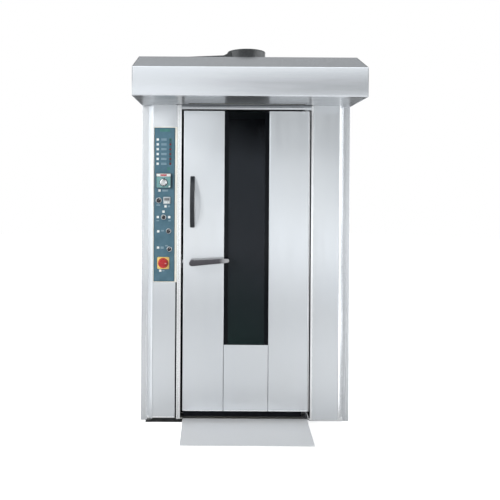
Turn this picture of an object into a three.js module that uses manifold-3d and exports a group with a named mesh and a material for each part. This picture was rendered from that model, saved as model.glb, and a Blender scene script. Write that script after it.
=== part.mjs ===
// Rotating rack oven: one insulated chamber with a top-driven rack carrier, a hinged door,
// a projecting steam hood, a control column and a loading ramp.
// Millimetres, +Z up, the front faces -Y. The origin is on the floor, midway between the hood's
// fascia and the rear panel, on the centre line of the casing.
import * as THREE from "three";
import { mergeVertices } from "three/addons/utils/BufferGeometryUtils.js";
import Module from "manifold-3d";

// ---------------------------------------------------------------- driving dimensions
// General
const GAP = 0.3; // between pieces that touch
const SHEET = 2; // folded stainless sheet
const RUN_GAP = 0.5; // radial clearance of a turning spindle or shaft
const THROUGH = 5; // how far a cutting tool runs past the face that it cuts
const MERGE_DISTANCE = 1e-4;
const FEWEST_SIDES = 12; // of a round bar
const MOST_SIDES = 40;
const ARC_INSET = 1 - Math.SQRT1_2; // of a corner radius, at the middle of its arc

// Casing
const FACADE_STAND = 60; // the facade stands this far ahead of the set-back plane
const FACADE_BOTTOM = 32;
const STRIP_WIDTH = 41; // set-back strip of each side panel
const BEVEL_WIDTH = 37; // of a bevelled post, seen from the front
const BEVEL_SEAM = 3; // groove between a column cover and its bevelled post
const CONTROL_FOLD = 22; // how far the control column's cover folds back
const COVER_FOLD = 80; // how far the right column's cover folds back
const BASE_HEIGHT = 32;
const BASE_RAIL = 60;
const BASE_RECESS = 5; // behind the set-back plane
const BASE_BAYS = 3;
const FLOOR_PLATE = 6;
const DECK_PLATE = 3;
const DECK_SPACE = 4; // between the roof wool and the deck
const COLUMN_WIDTH = 144; // face of the control column

// Mouth of the chamber
const DOOR_HALF = 402; // half the width of the door
const DOOR_BOTTOM = 83;
const DOOR_THICK = 75;
const DOOR_SIDE_GAP = 14; // between the door and the cheeks of the mouth
const LEFT_CHEEK = 25; // width of the visible cheek on the handle side
const RIGHT_CHEEK = 13;
const COLUMN_SLOT = 9; // dark slot between the control column and the left cheek
const FRAME_DEPTH = 80;
const FRAME_HEAD = 20; // solid bar at the top of the frame
const HEAD_HEIGHT = 25; // from the mouth to the chamber ceiling
const SEAL_THICK = 12;
const SEAL_SPACE = 1; // between the seal and the land that it meets
const SEAL_WIDTH = 16;
const SEAL_LAND = 2; // between the mouth and the seal's inner edge, at the sides
const SEAL_EDGE = 14; // between the seal and the door's side edges
const SEAL_TOP_EDGE = 12; // between the seal and the door's top edge
const SEAL_LIFT = 5; // above the door's bottom edge
const DOOR_TOP_GAP = 6; // between the door and the lintel
const LINTEL_HEIGHT = 31; // up to the underside of the hood
const LINTEL_ROUND = 9;

// Chamber
const CHAMBER_HALF = 525;
const CHAMBER_DEPTH = 1000;
const CHAMBER_TOP = 2000;
const PLENUM_DEPTH = 188; // heater space behind the air baffle
const ROOF_WOOL = 145;
const REAR_WOOL = 88;
const WOOL_SPACE = 1; // between the wool and the sheets on both sides of it

// Hood
const HOOD_REACH = 480; // ahead of the set-back plane
const FASCIA_HEIGHT = 167;
const HOOD_RISE = 118;
const HOOD_SLOPE_RUN = 300;
const HOOD_OVERLAP = 200; // how far the hood runs back over the roof
const HOOD_LIP = 15;
const INTAKE_HALF = 370;
const INTAKE_WIDTH = 40;
const INTAKE_INSET = 22; // from the facade
const FLUE_DIAMETER = 250;
const FLUE_WALL = 3;
const FLUE_RISE = 75; // above the hood's top
const FLUE_DROP = 140; // below it, inside the hood
const FLUE_SETBACK = 50; // flue axis behind the set-back plane
const FLUE_FLANGE = 18;
const SIDE_DUCT_REACH = 430; // low duct that joins the flue from the left
const SIDE_DUCT_DEPTH = 150;
const SIDE_DUCT_HIGH = 46;
const SIDE_DUCT_LOW = 30;
const DAMPER_DROP = 45; // spindle below the hood's top
const DAMPER_SPACE = 3;
const DAMPER_PLATE = 4;
const DAMPER_SPINDLE = 5; // radius
const SPINDLE_END = 10; // past the flue's wall, on the left
const SPINDLE_DRIVE_END = 20; // on the right, where an actuator grips it

// Ramp
const RAMP_INSET = 4; // inside the door's edges
const RAMP_REACH = 320; // ahead of the facade
const RAMP_RISE = 36;
const RAMP_PLATE = 3;
const RAMP_TOE = 12; // flat edge that lies on the floor

// Door
const GLASS_CENTRE = 3;
const GLASS_HALF = 144;
const GLASS_BOTTOM = 506;
const GLASS_THICK = 6;
const GLASS_BITE = 14; // how far the skins cover the glass
const INNER_GLASS_DROP = 15; // inner window's top below the mouth's
const PANEL_SEAM = 2;
const SWEEP_THICK = 14;
const SWEEP_SETBACK = 28; // behind the door's face
const SWEEP_CLEAR = 2.5;
const SWEEP_END_SPACE = 8; // from the lower hinge bracket
const PIVOT_INSET = 12; // hinge pivot from the door's right edge
const PIVOT_DEPTH = 17; // hinge pivot behind the door's face
const PIN_RADIUS = 7;
const PIN_REACH = 28;
const HINGE_BLOCK = 40; // height of the solid block that each pin turns in
const GUIDE_WALL = 8; // round the latch bolt
const BRACKET_THICK = 6;
const BRACKET_LENGTH = 44;
const BRACKET_DEPTH = 60;
const BRACKET_SETBACK = 5;

// Pull handle
const HANDLE_INSET = 58; // from the door's left edge
const HANDLE_LOW = 1256;
const HANDLE_HIGH = 1585;
const HANDLE_WIDTH = 29;
const HANDLE_STAND = 58;
const HANDLE_THICK = 13;
const HANDLE_STEPS = 14;
const HANDLE_FULLNESS = 0.75; // exponent of the bow: below 1 it is fuller than a sine

// Latch
const LATCH_INSET = 59; // from the door's left edge
const LATCH_Z = 1034;
const LATCH_BOSS = 17; // radius
const LATCH_STAND = 44;
const LEVER_LENGTH = 236;
const LEVER_TILT = 4.5; // degrees, tip up
const LEVER_ROOT = 18; // half height at the spindle
const LEVER_TIP = 13;
const LEVER_THICK = 14;
const LEVER_STEPS = 10; // in each round end
const SPINDLE_RADIUS = 7;
const SPINDLE_DEPTH = 34;
const BOLT_HEIGHT = 16;
const BOLT_DEPTH = 18;
const BOLT_LENGTH = 92;
const BOLT_REACH = 10; // beyond the door's edge
const BOLT_TRAVEL = 25; // room behind the bolt
const BOLT_SETBACK = 40; // behind the door's face
const STRIKE_THICK = 3;
const STRIKE_HEIGHT = 90;
const STRIKE_DEPTH = 20;

// Rack drive
const SHAFT_RADIUS = 15;
const SHAFT_END = 12; // above the sprocket hub
const SHAFT_HOLE = 24; // radius of the holes in the chamber roof and the deck
const CARRIER_HALF = 250;
const CARRIER_WIDTH = 30;
const CARRIER_HEIGHT = 22;
const CARRIER_DROP = 62; // bar's top below the chamber ceiling
const HOOK_DROP = 70;
const HOOK_REACH = 46;
const HOOK_THICK = 12;
const CARRIER_HUB = 32; // radius
const BEARING_RADIUS = 45;
const BEARING_HEIGHT = 38;
const BEARING_FLANGE = 130;
const BEARING_FLANGE_THICK = 10;
const CHAIN_PITCH = 19.05;
const DRIVEN_TEETH = 34;
const DRIVING_TEETH = 17;
const SPROCKET_THICK = 10;
const SPROCKET_SPACE = 10.7; // between the gearbox and the sprockets
const SPROCKET_HUB = 24; // radius
const HUB_HEIGHT = 16;
const TOOTH_TIP = 0.28; // of the pitch, outside the pitch circle
const TOOTH_ROOT = 0.3; // of the pitch, inside it
const TOOTH_TIP_SHARE = 0.1; // of one tooth's angle, each side of its middle
const TOOTH_ROOT_SHARE = 0.36;
const CHAIN_THICK = 12;
const CHAIN_DEPTH = 14;
const CHAIN_CLEAR = 0.6;
const CHAIN_STEPS = 20;
const DRIVE_OFFSET = 330; // gearmotor output from the carrier's axis
const GEARBOX_SIDE = 120;
const GEARBOX_HEIGHT = 46;
const MOTOR_RADIUS = 60;
const MOTOR_LENGTH = 190;
const MOTOR_NECK = 32; // from the gearbox to the motor's middle plate
const MOTOR_BITE = 16; // how far the motor runs into that neck
const OUTPUT_RADIUS = 12;

// Air circulation
const FAN_DROP = 350; // fan axis below the chamber ceiling
const FAN_RADIUS = 205;
const FAN_BLADES = 10;
const FAN_BLADE_INNER = 112; // radius at the blades' inner edges
const FAN_BLADE_LEAN = 30; // degrees from the radius
const FAN_DEPTH = 90;
const FAN_PLATE = 3;
const FAN_FRONT_SPACE = 30; // between the baffle and the wheel
const FAN_EYE = 160; // radius of the wheel's open front
const FAN_HUB = 30;
const FAN_SHAFT = 12; // radius
const FAN_SHAFT_HOLE = 24; // radius of its hole in the back wall
const FAN_MOTOR_RADIUS = 82;
const FAN_MOTOR_LENGTH = 172;
const MOTOR_END_SPACE = 25; // between the fan motor and the rear panel
const FAN_SHAFT_BITE = 24; // length of shaft inside the motor
const BAFFLE_EYE = 150;
const SLOT_ROWS = 12;
const SLOT_WIDTH = 90;
const SLOT_HEIGHT = 26;
const SLOT_LOW = 240;
const SLOT_DROP = 140; // highest slot below the chamber ceiling
const SLOT_INSET = 95; // slots' middle line from the chamber wall
const HEATER_TUBES = 9;
const HEATER_TUBE = 8; // radius
const HEATER_HALF = 300;
const HEATER_LOW = 520;
const HEATER_RAIL = 24;
const HEATER_SPACE = 65; // below the fan wheel
const CASCADE_SHELVES = 8;
const CASCADE_LOW = 420;
const CASCADE_HIGH = 1380;
const CASCADE_WIDTH = 130;
const CASCADE_DEPTH = 110;
const CASCADE_WALL = 3;
const CASCADE_RISE = 27; // from the fold of each tray to its edges
const LOUVRE_ROWS = 8;
const LOUVRE_WIDTH = 260;
const LOUVRE_HEIGHT = 14;
const LOUVRE_PITCH = 42;
const LOUVRE_LOW = 1400;

// Controls on the column
const PLATE_OUTER_EDGE = 4; // from the column's outer edge
const PLATE_INNER_EDGE = 7; // from the column's edge beside the door
const PLATE_LENGTH = 983;
const PLATE_DROP = 146; // below the underside of the hood
const PLATE_THICK = 3;
// Centre line of the timer, the mode selector and the main switch, from the inner edge.
const CONTROL_INSET = 78;
const LAMP_SHIFT = 41; // from that centre line
const LAMP_COUNT = 6;
const LAMP_PITCH = 31;
const LAMP_DROP = 76; // below the plate's top, as all the drops that follow
const LAMP_RADIUS = 8;
const LAMP_PROUD = 5;
const TIMER_SIDE = 95;
const TIMER_PROUD = 20;
const TIMER_DROP = 339;
const TIMER_KNOB_DROP = 350;
const TIMER_KNOB_RADIUS = 25;
const TIMER_KNOB_PROUD = 18;
const TIMER_KNOB_SKIRT = 9; // height of the wide skirt under its grip
const TIMER_KNOB_GRIP = 18; // radius
const METER_SHIFT = 21;
const METER_DROP = 465;
const METER_SIDE = 45;
const METER_PROUD = 9;
const SELECTOR_RADIUS = 17;
const SELECTOR_PROUD = 20;
const SELECTOR_FLANGE = 4;
const GRIP_WIDTH = 9;
const GRIP_INSET = 2.5; // from the flange's rim
const STEM_RADIUS = 4;
const STEM_DEPTH = 24;
const SWITCH_DROP = 865;
const SWITCH_SIDE = 76;
const SWITCH_PLATE = 5;
const SWITCH_KNOB = 27; // radius
const SWITCH_PROUD = 26;
const SWITCH_FLANGE = 14;
const SWITCH_GRIP = 14;
// name, shift from the centre line, drop, radius of the flange, angle of the grip in degrees
const SELECTORS = [
  ["light_selector", -31.5, 465, 19, 45],
  ["mode_selector", 0, 572.5, SELECTOR_RADIUS, -45],
  ["fan_selector", 32.5, 661, SELECTOR_RADIUS, 45],
  ["steam_selector", 38, 776, SELECTOR_RADIUS, 30],
];

// ---------------------------------------------------------------- derived planes
const cheekLeft = -DOOR_HALF - DOOR_SIDE_GAP;
const cheekRight = DOOR_HALF + DOOR_SIDE_GAP;
const columnInner = cheekLeft - LEFT_CHEEK - COLUMN_SLOT;
const facadeHalf = COLUMN_WIDTH - columnInner;
const bevelX = facadeHalf + BEVEL_SEAM + BEVEL_WIDTH;
const sideX = bevelX + STRIP_WIDTH;
const sealHalf = DOOR_HALF - SEAL_EDGE;
const mouthHalf = sealHalf - SEAL_WIDTH - SEAL_LAND;
const rampHalf = DOOR_HALF - RAMP_INSET;
const pivotX = DOOR_HALF - PIVOT_INSET;
const bracketRight = cheekRight - GAP;
const bracketLeft = bracketRight - BRACKET_LENGTH;
const handleX = -DOOR_HALF + HANDLE_INSET;
const latchX = -DOOR_HALF + LATCH_INSET;
const slotColumn = CHAMBER_HALF - SLOT_INSET;

const frameToFacade = DOOR_THICK + SEAL_THICK + SEAL_SPACE;
const motorSpace = WOOL_SPACE + FAN_MOTOR_LENGTH + MOTOR_END_SPACE;
const chamberBlock = frameToFacade + FRAME_DEPTH + CHAMBER_DEPTH + SHEET + PLENUM_DEPTH;
const bodyDepth = chamberBlock - FACADE_STAND + SHEET + motorSpace + SHEET;
const hoodFront = -(bodyDepth + HOOD_REACH) / 2;
const bodyFront = hoodFront + HOOD_REACH;
const bodyBack = bodyFront + bodyDepth;
const facade = bodyFront - FACADE_STAND;
const doorBack = facade + DOOR_THICK;
const frameFront = doorBack + SEAL_THICK + SEAL_SPACE;
const chamberFront = frameFront + FRAME_DEPTH;
const baffleFront = chamberFront + CHAMBER_DEPTH;
const plenumBack = baffleFront + SHEET + PLENUM_DEPTH;
const carrierY = chamberFront + CHAMBER_DEPTH / 2;
const hoodBack = bodyFront + HOOD_OVERLAP;
const flueY = bodyFront + FLUE_SETBACK;
const pivotY = facade + PIVOT_DEPTH;

const floorTop = BASE_HEIGHT + GAP + FLOOR_PLATE;
const mouthTop = CHAMBER_TOP - HEAD_HEIGHT;
const sealTop = mouthTop + SEAL_WIDTH;
const doorTop = sealTop + SEAL_TOP_EDGE;
const innerGlassTop = mouthTop - INNER_GLASS_DROP;
const lintelBottom = doorTop + DOOR_TOP_GAP;
const hoodBottom = lintelBottom + LINTEL_HEIGHT;
const facadeTop = hoodBottom - GAP;
const bodyTop = hoodBottom + FASCIA_HEIGHT;
const hoodTop = bodyTop + HOOD_RISE;
const flueTop = hoodTop + FLUE_RISE;
const flueTail = hoodTop - FLUE_DROP;
const damperHeight = hoodTop - DAMPER_DROP;
const deckTop = CHAMBER_TOP + SHEET + WOOL_SPACE + ROOF_WOOL + DECK_SPACE + DECK_PLATE;
const sprocketLow = deckTop + GAP + GEARBOX_HEIGHT + SPROCKET_SPACE;
const shaftTop = sprocketLow + HUB_HEIGHT + SHAFT_END;
const fanHeight = CHAMBER_TOP - FAN_DROP;
const slotHigh = CHAMBER_TOP - SLOT_DROP;
const heaterHigh = fanHeight - FAN_RADIUS - HEATER_SPACE;

const plateLeft = -facadeHalf + PLATE_OUTER_EDGE;
const plateRight = columnInner - PLATE_INNER_EDGE;
const plateHigh = hoodBottom - PLATE_DROP;
const plateLow = plateHigh - PLATE_LENGTH;
const controlX = columnInner - CONTROL_INSET;
const lampX = controlX + LAMP_SHIFT;
const lampFirst = plateHigh - LAMP_DROP;
const timerZ = plateHigh - TIMER_DROP;
const timerKnobZ = plateHigh - TIMER_KNOB_DROP;
const meterX = controlX + METER_SHIFT;
const meterZ = plateHigh - METER_DROP;
const switchZ = plateHigh - SWITCH_DROP;
const sprocketRadius = (teeth) => CHAIN_PITCH / (2 * Math.sin(Math.PI / teeth));

// ---------------------------------------------------------------- geometry helpers
const wasm = await Module();
wasm.setup();

function toSolid(geometry) {
  const plain = geometry.clone();
  plain.deleteAttribute("normal");
  plain.deleteAttribute("uv");
  const merged = mergeVertices(plain, MERGE_DISTANCE);
  const vertProperties = new Float32Array(merged.attributes.position.array);
  const triVerts = new Uint32Array(merged.index.array);
  return new wasm.Manifold(new wasm.Mesh({ numProp: 3, vertProperties, triVerts }));
}

function toGeometry(solid) {
  const mesh = solid.getMesh();
  const geometry = new THREE.BufferGeometry();
  geometry.setAttribute("position", new THREE.BufferAttribute(mesh.vertProperties, 3));
  geometry.setIndex(new THREE.BufferAttribute(mesh.triVerts, 1));
  geometry.computeVertexNormals();
  return geometry;
}

function join(...geometries) {
  return toGeometry(geometries.map(toSolid).reduce((all, one) => all.add(one)));
}

function cut(geometry, ...tools) {
  return toGeometry(tools.map(toSolid).reduce((rest, tool) => rest.subtract(tool), toSolid(geometry)));
}

// A box from its two bounds along each axis.
function block([x0, x1], [y0, y1], [z0, z1]) {
  const box = new THREE.BoxGeometry(x1 - x0, y1 - y0, z1 - z0);
  return box.translate((x0 + x1) / 2, (y0 + y1) / 2, (z0 + z1) / 2);
}

function outline(points) {
  return new THREE.Shape(points.map(([a, b]) => new THREE.Vector2(a, b)));
}

function extrude(points, depth) {
  return new THREE.ExtrudeGeometry(outline(points), { depth, bevelEnabled: false });
}

// An outline in plan, [x, y], raised from z0 to z1.
function prismZ(points, z0, z1) {
  return extrude(points, z1 - z0).translate(0, 0, z0);
}

// An outline seen from the side, [y, z], drawn out from x0 to x1.
function prismX(points, x0, x1) {
  const toX = new THREE.Matrix4().makeBasis(
    new THREE.Vector3(0, 1, 0),
    new THREE.Vector3(0, 0, 1),
    new THREE.Vector3(1, 0, 0),
  );
  return extrude(points, x1 - x0).applyMatrix4(toX).translate(x0, 0, 0);
}

// An outline seen from the front, [x, z], drawn out from y0 to y1.
function prismY(points, y0, y1) {
  return extrude(points, y1 - y0).rotateX(Math.PI / 2).translate(0, y1, 0);
}

// A round bar along "x", "y" or "z", from a to b, with its axis at the other two coordinates.
function rod(axis, radius, [a, b], [p, q]) {
  const sides = THREE.MathUtils.clamp(4 * Math.round(Math.sqrt(radius)), FEWEST_SIDES, MOST_SIDES);
  const bar = new THREE.CylinderGeometry(radius, radius, b - a, sides);
  const middle = (a + b) / 2;
  if (axis === "x") return bar.rotateZ(Math.PI / 2).translate(middle, p, q);
  if (axis === "y") return bar.translate(p, middle, q);
  return bar.rotateX(Math.PI / 2).translate(p, q, middle);
}

// The outline of a folded sheet: the given line is its outer face, and the metal is on the left.
function folded(line, thickness = SHEET) {
  const inner = line.map(([x, y], i) => {
    const before = line[Math.max(i - 1, 0)];
    const here = line[Math.min(i, line.length - 2)];
    const next = line[Math.min(i + 1, line.length - 1)];
    const first = i === 0 ? normalOf(here, next) : normalOf(before, [x, y]);
    const second = i === line.length - 1 ? first : normalOf([x, y], next);
    const share = 1 + first[0] * second[0] + first[1] * second[1];
    return [
      x + (thickness * (first[0] + second[0])) / share,
      y + (thickness * (first[1] + second[1])) / share,
    ];
  });
  return [...line, ...inner.reverse()];
}

function normalOf([x0, y0], [x1, y1]) {
  const length = Math.hypot(x1 - x0, y1 - y0);
  return [-(y1 - y0) / length, (x1 - x0) / length];
}

// ---------------------------------------------------------------- materials and the group
const finishes = {
  steel: [0xc3c8cf, 0.32, 0.95],
  mirrorSteel: [0xcdd2d8, 0.08, 1],
  liner: [0x9fa3a6, 0.4, 0.9],
  plate: [0x8b8f94, 0.45, 0.85],
  black: [0x141619, 0.55, 0.3],
  charcoal: [0x2f353c, 0.5, 0.2],
  leverGrey: [0x55545a, 0.45, 0.5],
  glass: [0x11151a, 0.08, 0.1],
  rubber: [0x0c0d0f, 0.8, 0],
  wool: [0xb9a96d, 0.95, 0],
  motorBlue: [0x3c5a78, 0.5, 0.2],
  teal: [0x4f7488, 0.45, 0],
  lamp: [0x5a1420, 0.25, 0],
  timerFace: [0x9fc3c4, 0.4, 0],
  knobSilver: [0xb9bcbc, 0.35, 0.5],
  yellow: [0xf0c95a, 0.45, 0],
  red: [0xa3202b, 0.4, 0],
};
const oven = new THREE.Group();

function piece(name, finish, geometry, parent = oven) {
  const [color, roughness, metalness] = finishes[finish];
  const material = new THREE.MeshStandardMaterial({ color, roughness, metalness });
  const mesh = new THREE.Mesh(geometry, material);
  mesh.name = name;
  parent.add(mesh);
  return mesh;
}

// ---------------------------------------------------------------- casing
function addBase() {
  const half = sideX - SHEET - GAP;
  const front = bodyFront + BASE_RECESS;
  const back = bodyBack - SHEET - GAP;
  const bay = (back - front - BASE_RAIL) / BASE_BAYS;
  const holes = [];
  for (let i = 0; i < BASE_BAYS; i++) {
    const start = front + BASE_RAIL + i * bay;
    const hole = [start, start + bay - BASE_RAIL];
    holes.push(block([-half + BASE_RAIL, half - BASE_RAIL], hole, [-THROUGH, BASE_HEIGHT + THROUGH]));
  }
  piece("base_frame", "black", cut(block([-half, half], [front, back], [0, BASE_HEIGHT]), ...holes));
  const sill = facade + SHEET;
  const wide = CHAMBER_HALF - GAP;
  const narrow = cheekRight - GAP;
  const plan = [
    [-narrow, sill], [narrow, sill], [narrow, frameFront], [wide, frameFront],
    [wide, plenumBack - GAP], [-wide, plenumBack - GAP], [-wide, frameFront], [-narrow, frameFront],
  ];
  piece("chamber_floor", "liner", prismZ(plan, BASE_HEIGHT + GAP, floorTop));
}

function addPanels() {
  const left = [[-sideX, bodyBack], [-sideX, bodyFront], [-bevelX, bodyFront]];
  const right = [[bevelX, bodyFront], [sideX, bodyFront], [sideX, bodyBack]];
  piece("side_panel_left", "steel", prismZ(folded(left), 0, bodyTop));
  piece("side_panel_right", "steel", prismZ(folded(right), 0, bodyTop));
  const half = sideX - SHEET - GAP;
  const slots = [];
  for (let i = 0; i < LOUVRE_ROWS; i++) {
    const z = LOUVRE_LOW + i * LOUVRE_PITCH;
    const depth = [bodyBack - SHEET - THROUGH, bodyBack + THROUGH];
    slots.push(block([-LOUVRE_WIDTH / 2, LOUVRE_WIDTH / 2], depth, [z, z + LOUVRE_HEIGHT]));
  }
  const rear = block([-half, half], [bodyBack - SHEET, bodyBack], [0, bodyTop]);
  piece("rear_panel", "steel", cut(rear, ...slots));
  const deck = block([-half, half], [bodyFront + GAP + SHEET, bodyBack - SHEET - GAP],
    [deckTop - DECK_PLATE, deckTop]);
  const hole = rod("z", SHAFT_HOLE, [deckTop - DECK_PLATE - THROUGH, deckTop + THROUGH],
    [0, carrierY]);
  piece("roof_deck", "plate", cut(deck, hole));
}

function addFacade() {
  const seamX = facadeHalf + BEVEL_SEAM;
  const bevelBack = bodyFront - GAP;
  const leftBevel = [[-bevelX, bevelBack], [-seamX, facade], [-seamX + SHEET, facade]];
  const rightBevel = [[seamX - SHEET, facade], [seamX, facade], [bevelX, bevelBack]];
  piece("bevel_post_left", "steel", prismZ(folded(leftBevel), FACADE_BOTTOM, facadeTop));
  piece("bevel_post_right", "steel", prismZ(folded(rightBevel), FACADE_BOTTOM, facadeTop));
  const controlBack = facade + CONTROL_FOLD;
  const coverBack = facade + COVER_FOLD;
  const control = [
    [-facadeHalf, controlBack], [-facadeHalf, facade], [columnInner, facade], [columnInner, controlBack],
  ];
  const stems = controlStems();
  piece("control_column_cover", "steel",
    cut(prismZ(folded(control), FACADE_BOTTOM, facadeTop), ...stems));
  const inner = cheekRight + RIGHT_CHEEK + GAP;
  const right = [
    [inner, coverBack], [inner, facade], [facadeHalf, facade], [facadeHalf, coverBack],
  ];
  piece("right_column_cover", "steel", prismZ(folded(right), FACADE_BOTTOM, facadeTop));
  const lintelBack = frameFront - GAP;
  const lintelSide = [
    [facade + LINTEL_ROUND, lintelBottom], [lintelBack, lintelBottom], [lintelBack, facadeTop],
    [facade, facadeTop], [facade, lintelBottom + LINTEL_ROUND],
    [facade + LINTEL_ROUND * ARC_INSET, lintelBottom + LINTEL_ROUND * ARC_INSET],
  ];
  const pocket = block([bracketLeft - GAP, cheekRight + THROUGH],
    [facade + BRACKET_SETBACK - GAP, facade + BRACKET_SETBACK + BRACKET_DEPTH + GAP],
    [lintelBottom - THROUGH, lintelBottom + BRACKET_THICK + 2 * GAP]);
  piece("lintel_bar", "steel", cut(prismX(lintelSide, cheekLeft + GAP, cheekRight - GAP), pocket));
}

function addFrontFrame() {
  const low = floorTop + GAP;
  const high = CHAMBER_TOP - GAP;
  const wide = CHAMBER_HALF - GAP;
  const wall = block([-wide, wide], [frameFront, chamberFront], [low, high]);
  const mouth = block([-mouthHalf, mouthHalf], [frameFront - THROUGH, chamberFront + THROUGH],
    [low - THROUGH, mouthTop]);
  // Each upright is a channel that opens outwards, towards the chamber's side wall.
  const hollow = (x0, x1) => block([x0, x1], [frameFront + SHEET, chamberFront - SHEET],
    [low + SHEET, high - FRAME_HEAD]);
  const uprights = [
    hollow(-wide - THROUGH, -mouthHalf - SHEET),
    hollow(mouthHalf + SHEET, wide + THROUGH),
  ];
  const strike = block([cheekLeft - SHEET, cheekLeft + STRIKE_THICK],
    [frameFront - STRIKE_DEPTH, frameFront + SHEET],
    [LATCH_Z - STRIKE_HEIGHT / 2, LATCH_Z + STRIKE_HEIGHT / 2]);
  piece("front_frame", "steel", join(cut(wall, mouth, ...uprights), strike,
    cheek(cheekLeft - LEFT_CHEEK, cheekLeft, -1), cheek(cheekRight, cheekRight + RIGHT_CHEEK, 1)));
}

// A channel beside the door, open on the side away from it, that joins the frame behind.
function cheek(x0, x1, outward) {
  const low = floorTop + GAP;
  const face = block([x0, x1], [facade, frameFront - GAP], [FACADE_BOTTOM, facadeTop]);
  const root = block([x0, x1], [frameFront - SHEET, frameFront + SHEET], [low, CHAMBER_TOP - GAP]);
  const inside = outward < 0 ? [x0 - THROUGH, x1 - SHEET] : [x0 + SHEET, x1 + THROUGH];
  const hollow = block(inside, [facade + SHEET, frameFront - GAP - SHEET],
    [FACADE_BOTTOM + SHEET, facadeTop - SHEET]);
  return join(cut(face, hollow), root);
}

// ---------------------------------------------------------------- chamber
function addChamber() {
  const low = floorTop + GAP;
  const wallSpan = [frameFront, plenumBack];
  piece("chamber_wall_left", "liner",
    block([-CHAMBER_HALF - SHEET, -CHAMBER_HALF], wallSpan, [low, CHAMBER_TOP - GAP]));
  piece("chamber_wall_right", "liner",
    block([CHAMBER_HALF, CHAMBER_HALF + SHEET], wallSpan, [low, CHAMBER_TOP - GAP]));
  const ceilingZ = [CHAMBER_TOP, CHAMBER_TOP + SHEET];
  const ceiling = block([-CHAMBER_HALF - SHEET, CHAMBER_HALF + SHEET], wallSpan, ceilingZ);
  const shaftHole = rod("z", SHAFT_HOLE, [CHAMBER_TOP - THROUGH, CHAMBER_TOP + SHEET + THROUGH],
    [0, carrierY]);
  piece("chamber_ceiling", "liner", cut(ceiling, shaftHole));
  const backZ = [low, CHAMBER_TOP - GAP];
  const back = block([-CHAMBER_HALF - SHEET, CHAMBER_HALF + SHEET],
    [plenumBack + GAP, plenumBack + GAP + SHEET], backZ);
  const backSpan = [plenumBack - THROUGH, plenumBack + SHEET + THROUGH];
  piece("chamber_back_wall", "liner",
    cut(back, rod("y", FAN_SHAFT_HOLE, backSpan, [0, fanHeight])));
  const half = sideX - SHEET - WOOL_SPACE;
  const cavity = CHAMBER_HALF + SHEET + WOOL_SPACE;
  const woolBack = plenumBack + SHEET + REAR_WOOL;
  const roofLow = CHAMBER_TOP + SHEET + WOOL_SPACE;
  const outer = block([-half, half], [frameFront, woolBack], [floorTop + WOOL_SPACE, roofLow + ROOF_WOOL]);
  const inner = block([-cavity, cavity], [frameFront - THROUGH, plenumBack + SHEET + WOOL_SPACE],
    [floorTop - THROUGH, roofLow]);
  const shaftWay = rod("z", SHAFT_HOLE, [roofLow - THROUGH, roofLow + ROOF_WOOL + THROUGH], [0, carrierY]);
  const motorWay = rod("y", FAN_MOTOR_RADIUS + WOOL_SPACE, [plenumBack - THROUGH, woolBack + THROUGH],
    [0, fanHeight]);
  piece("insulation_wrap", "wool", cut(outer, inner, shaftWay, motorWay));
}

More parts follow.
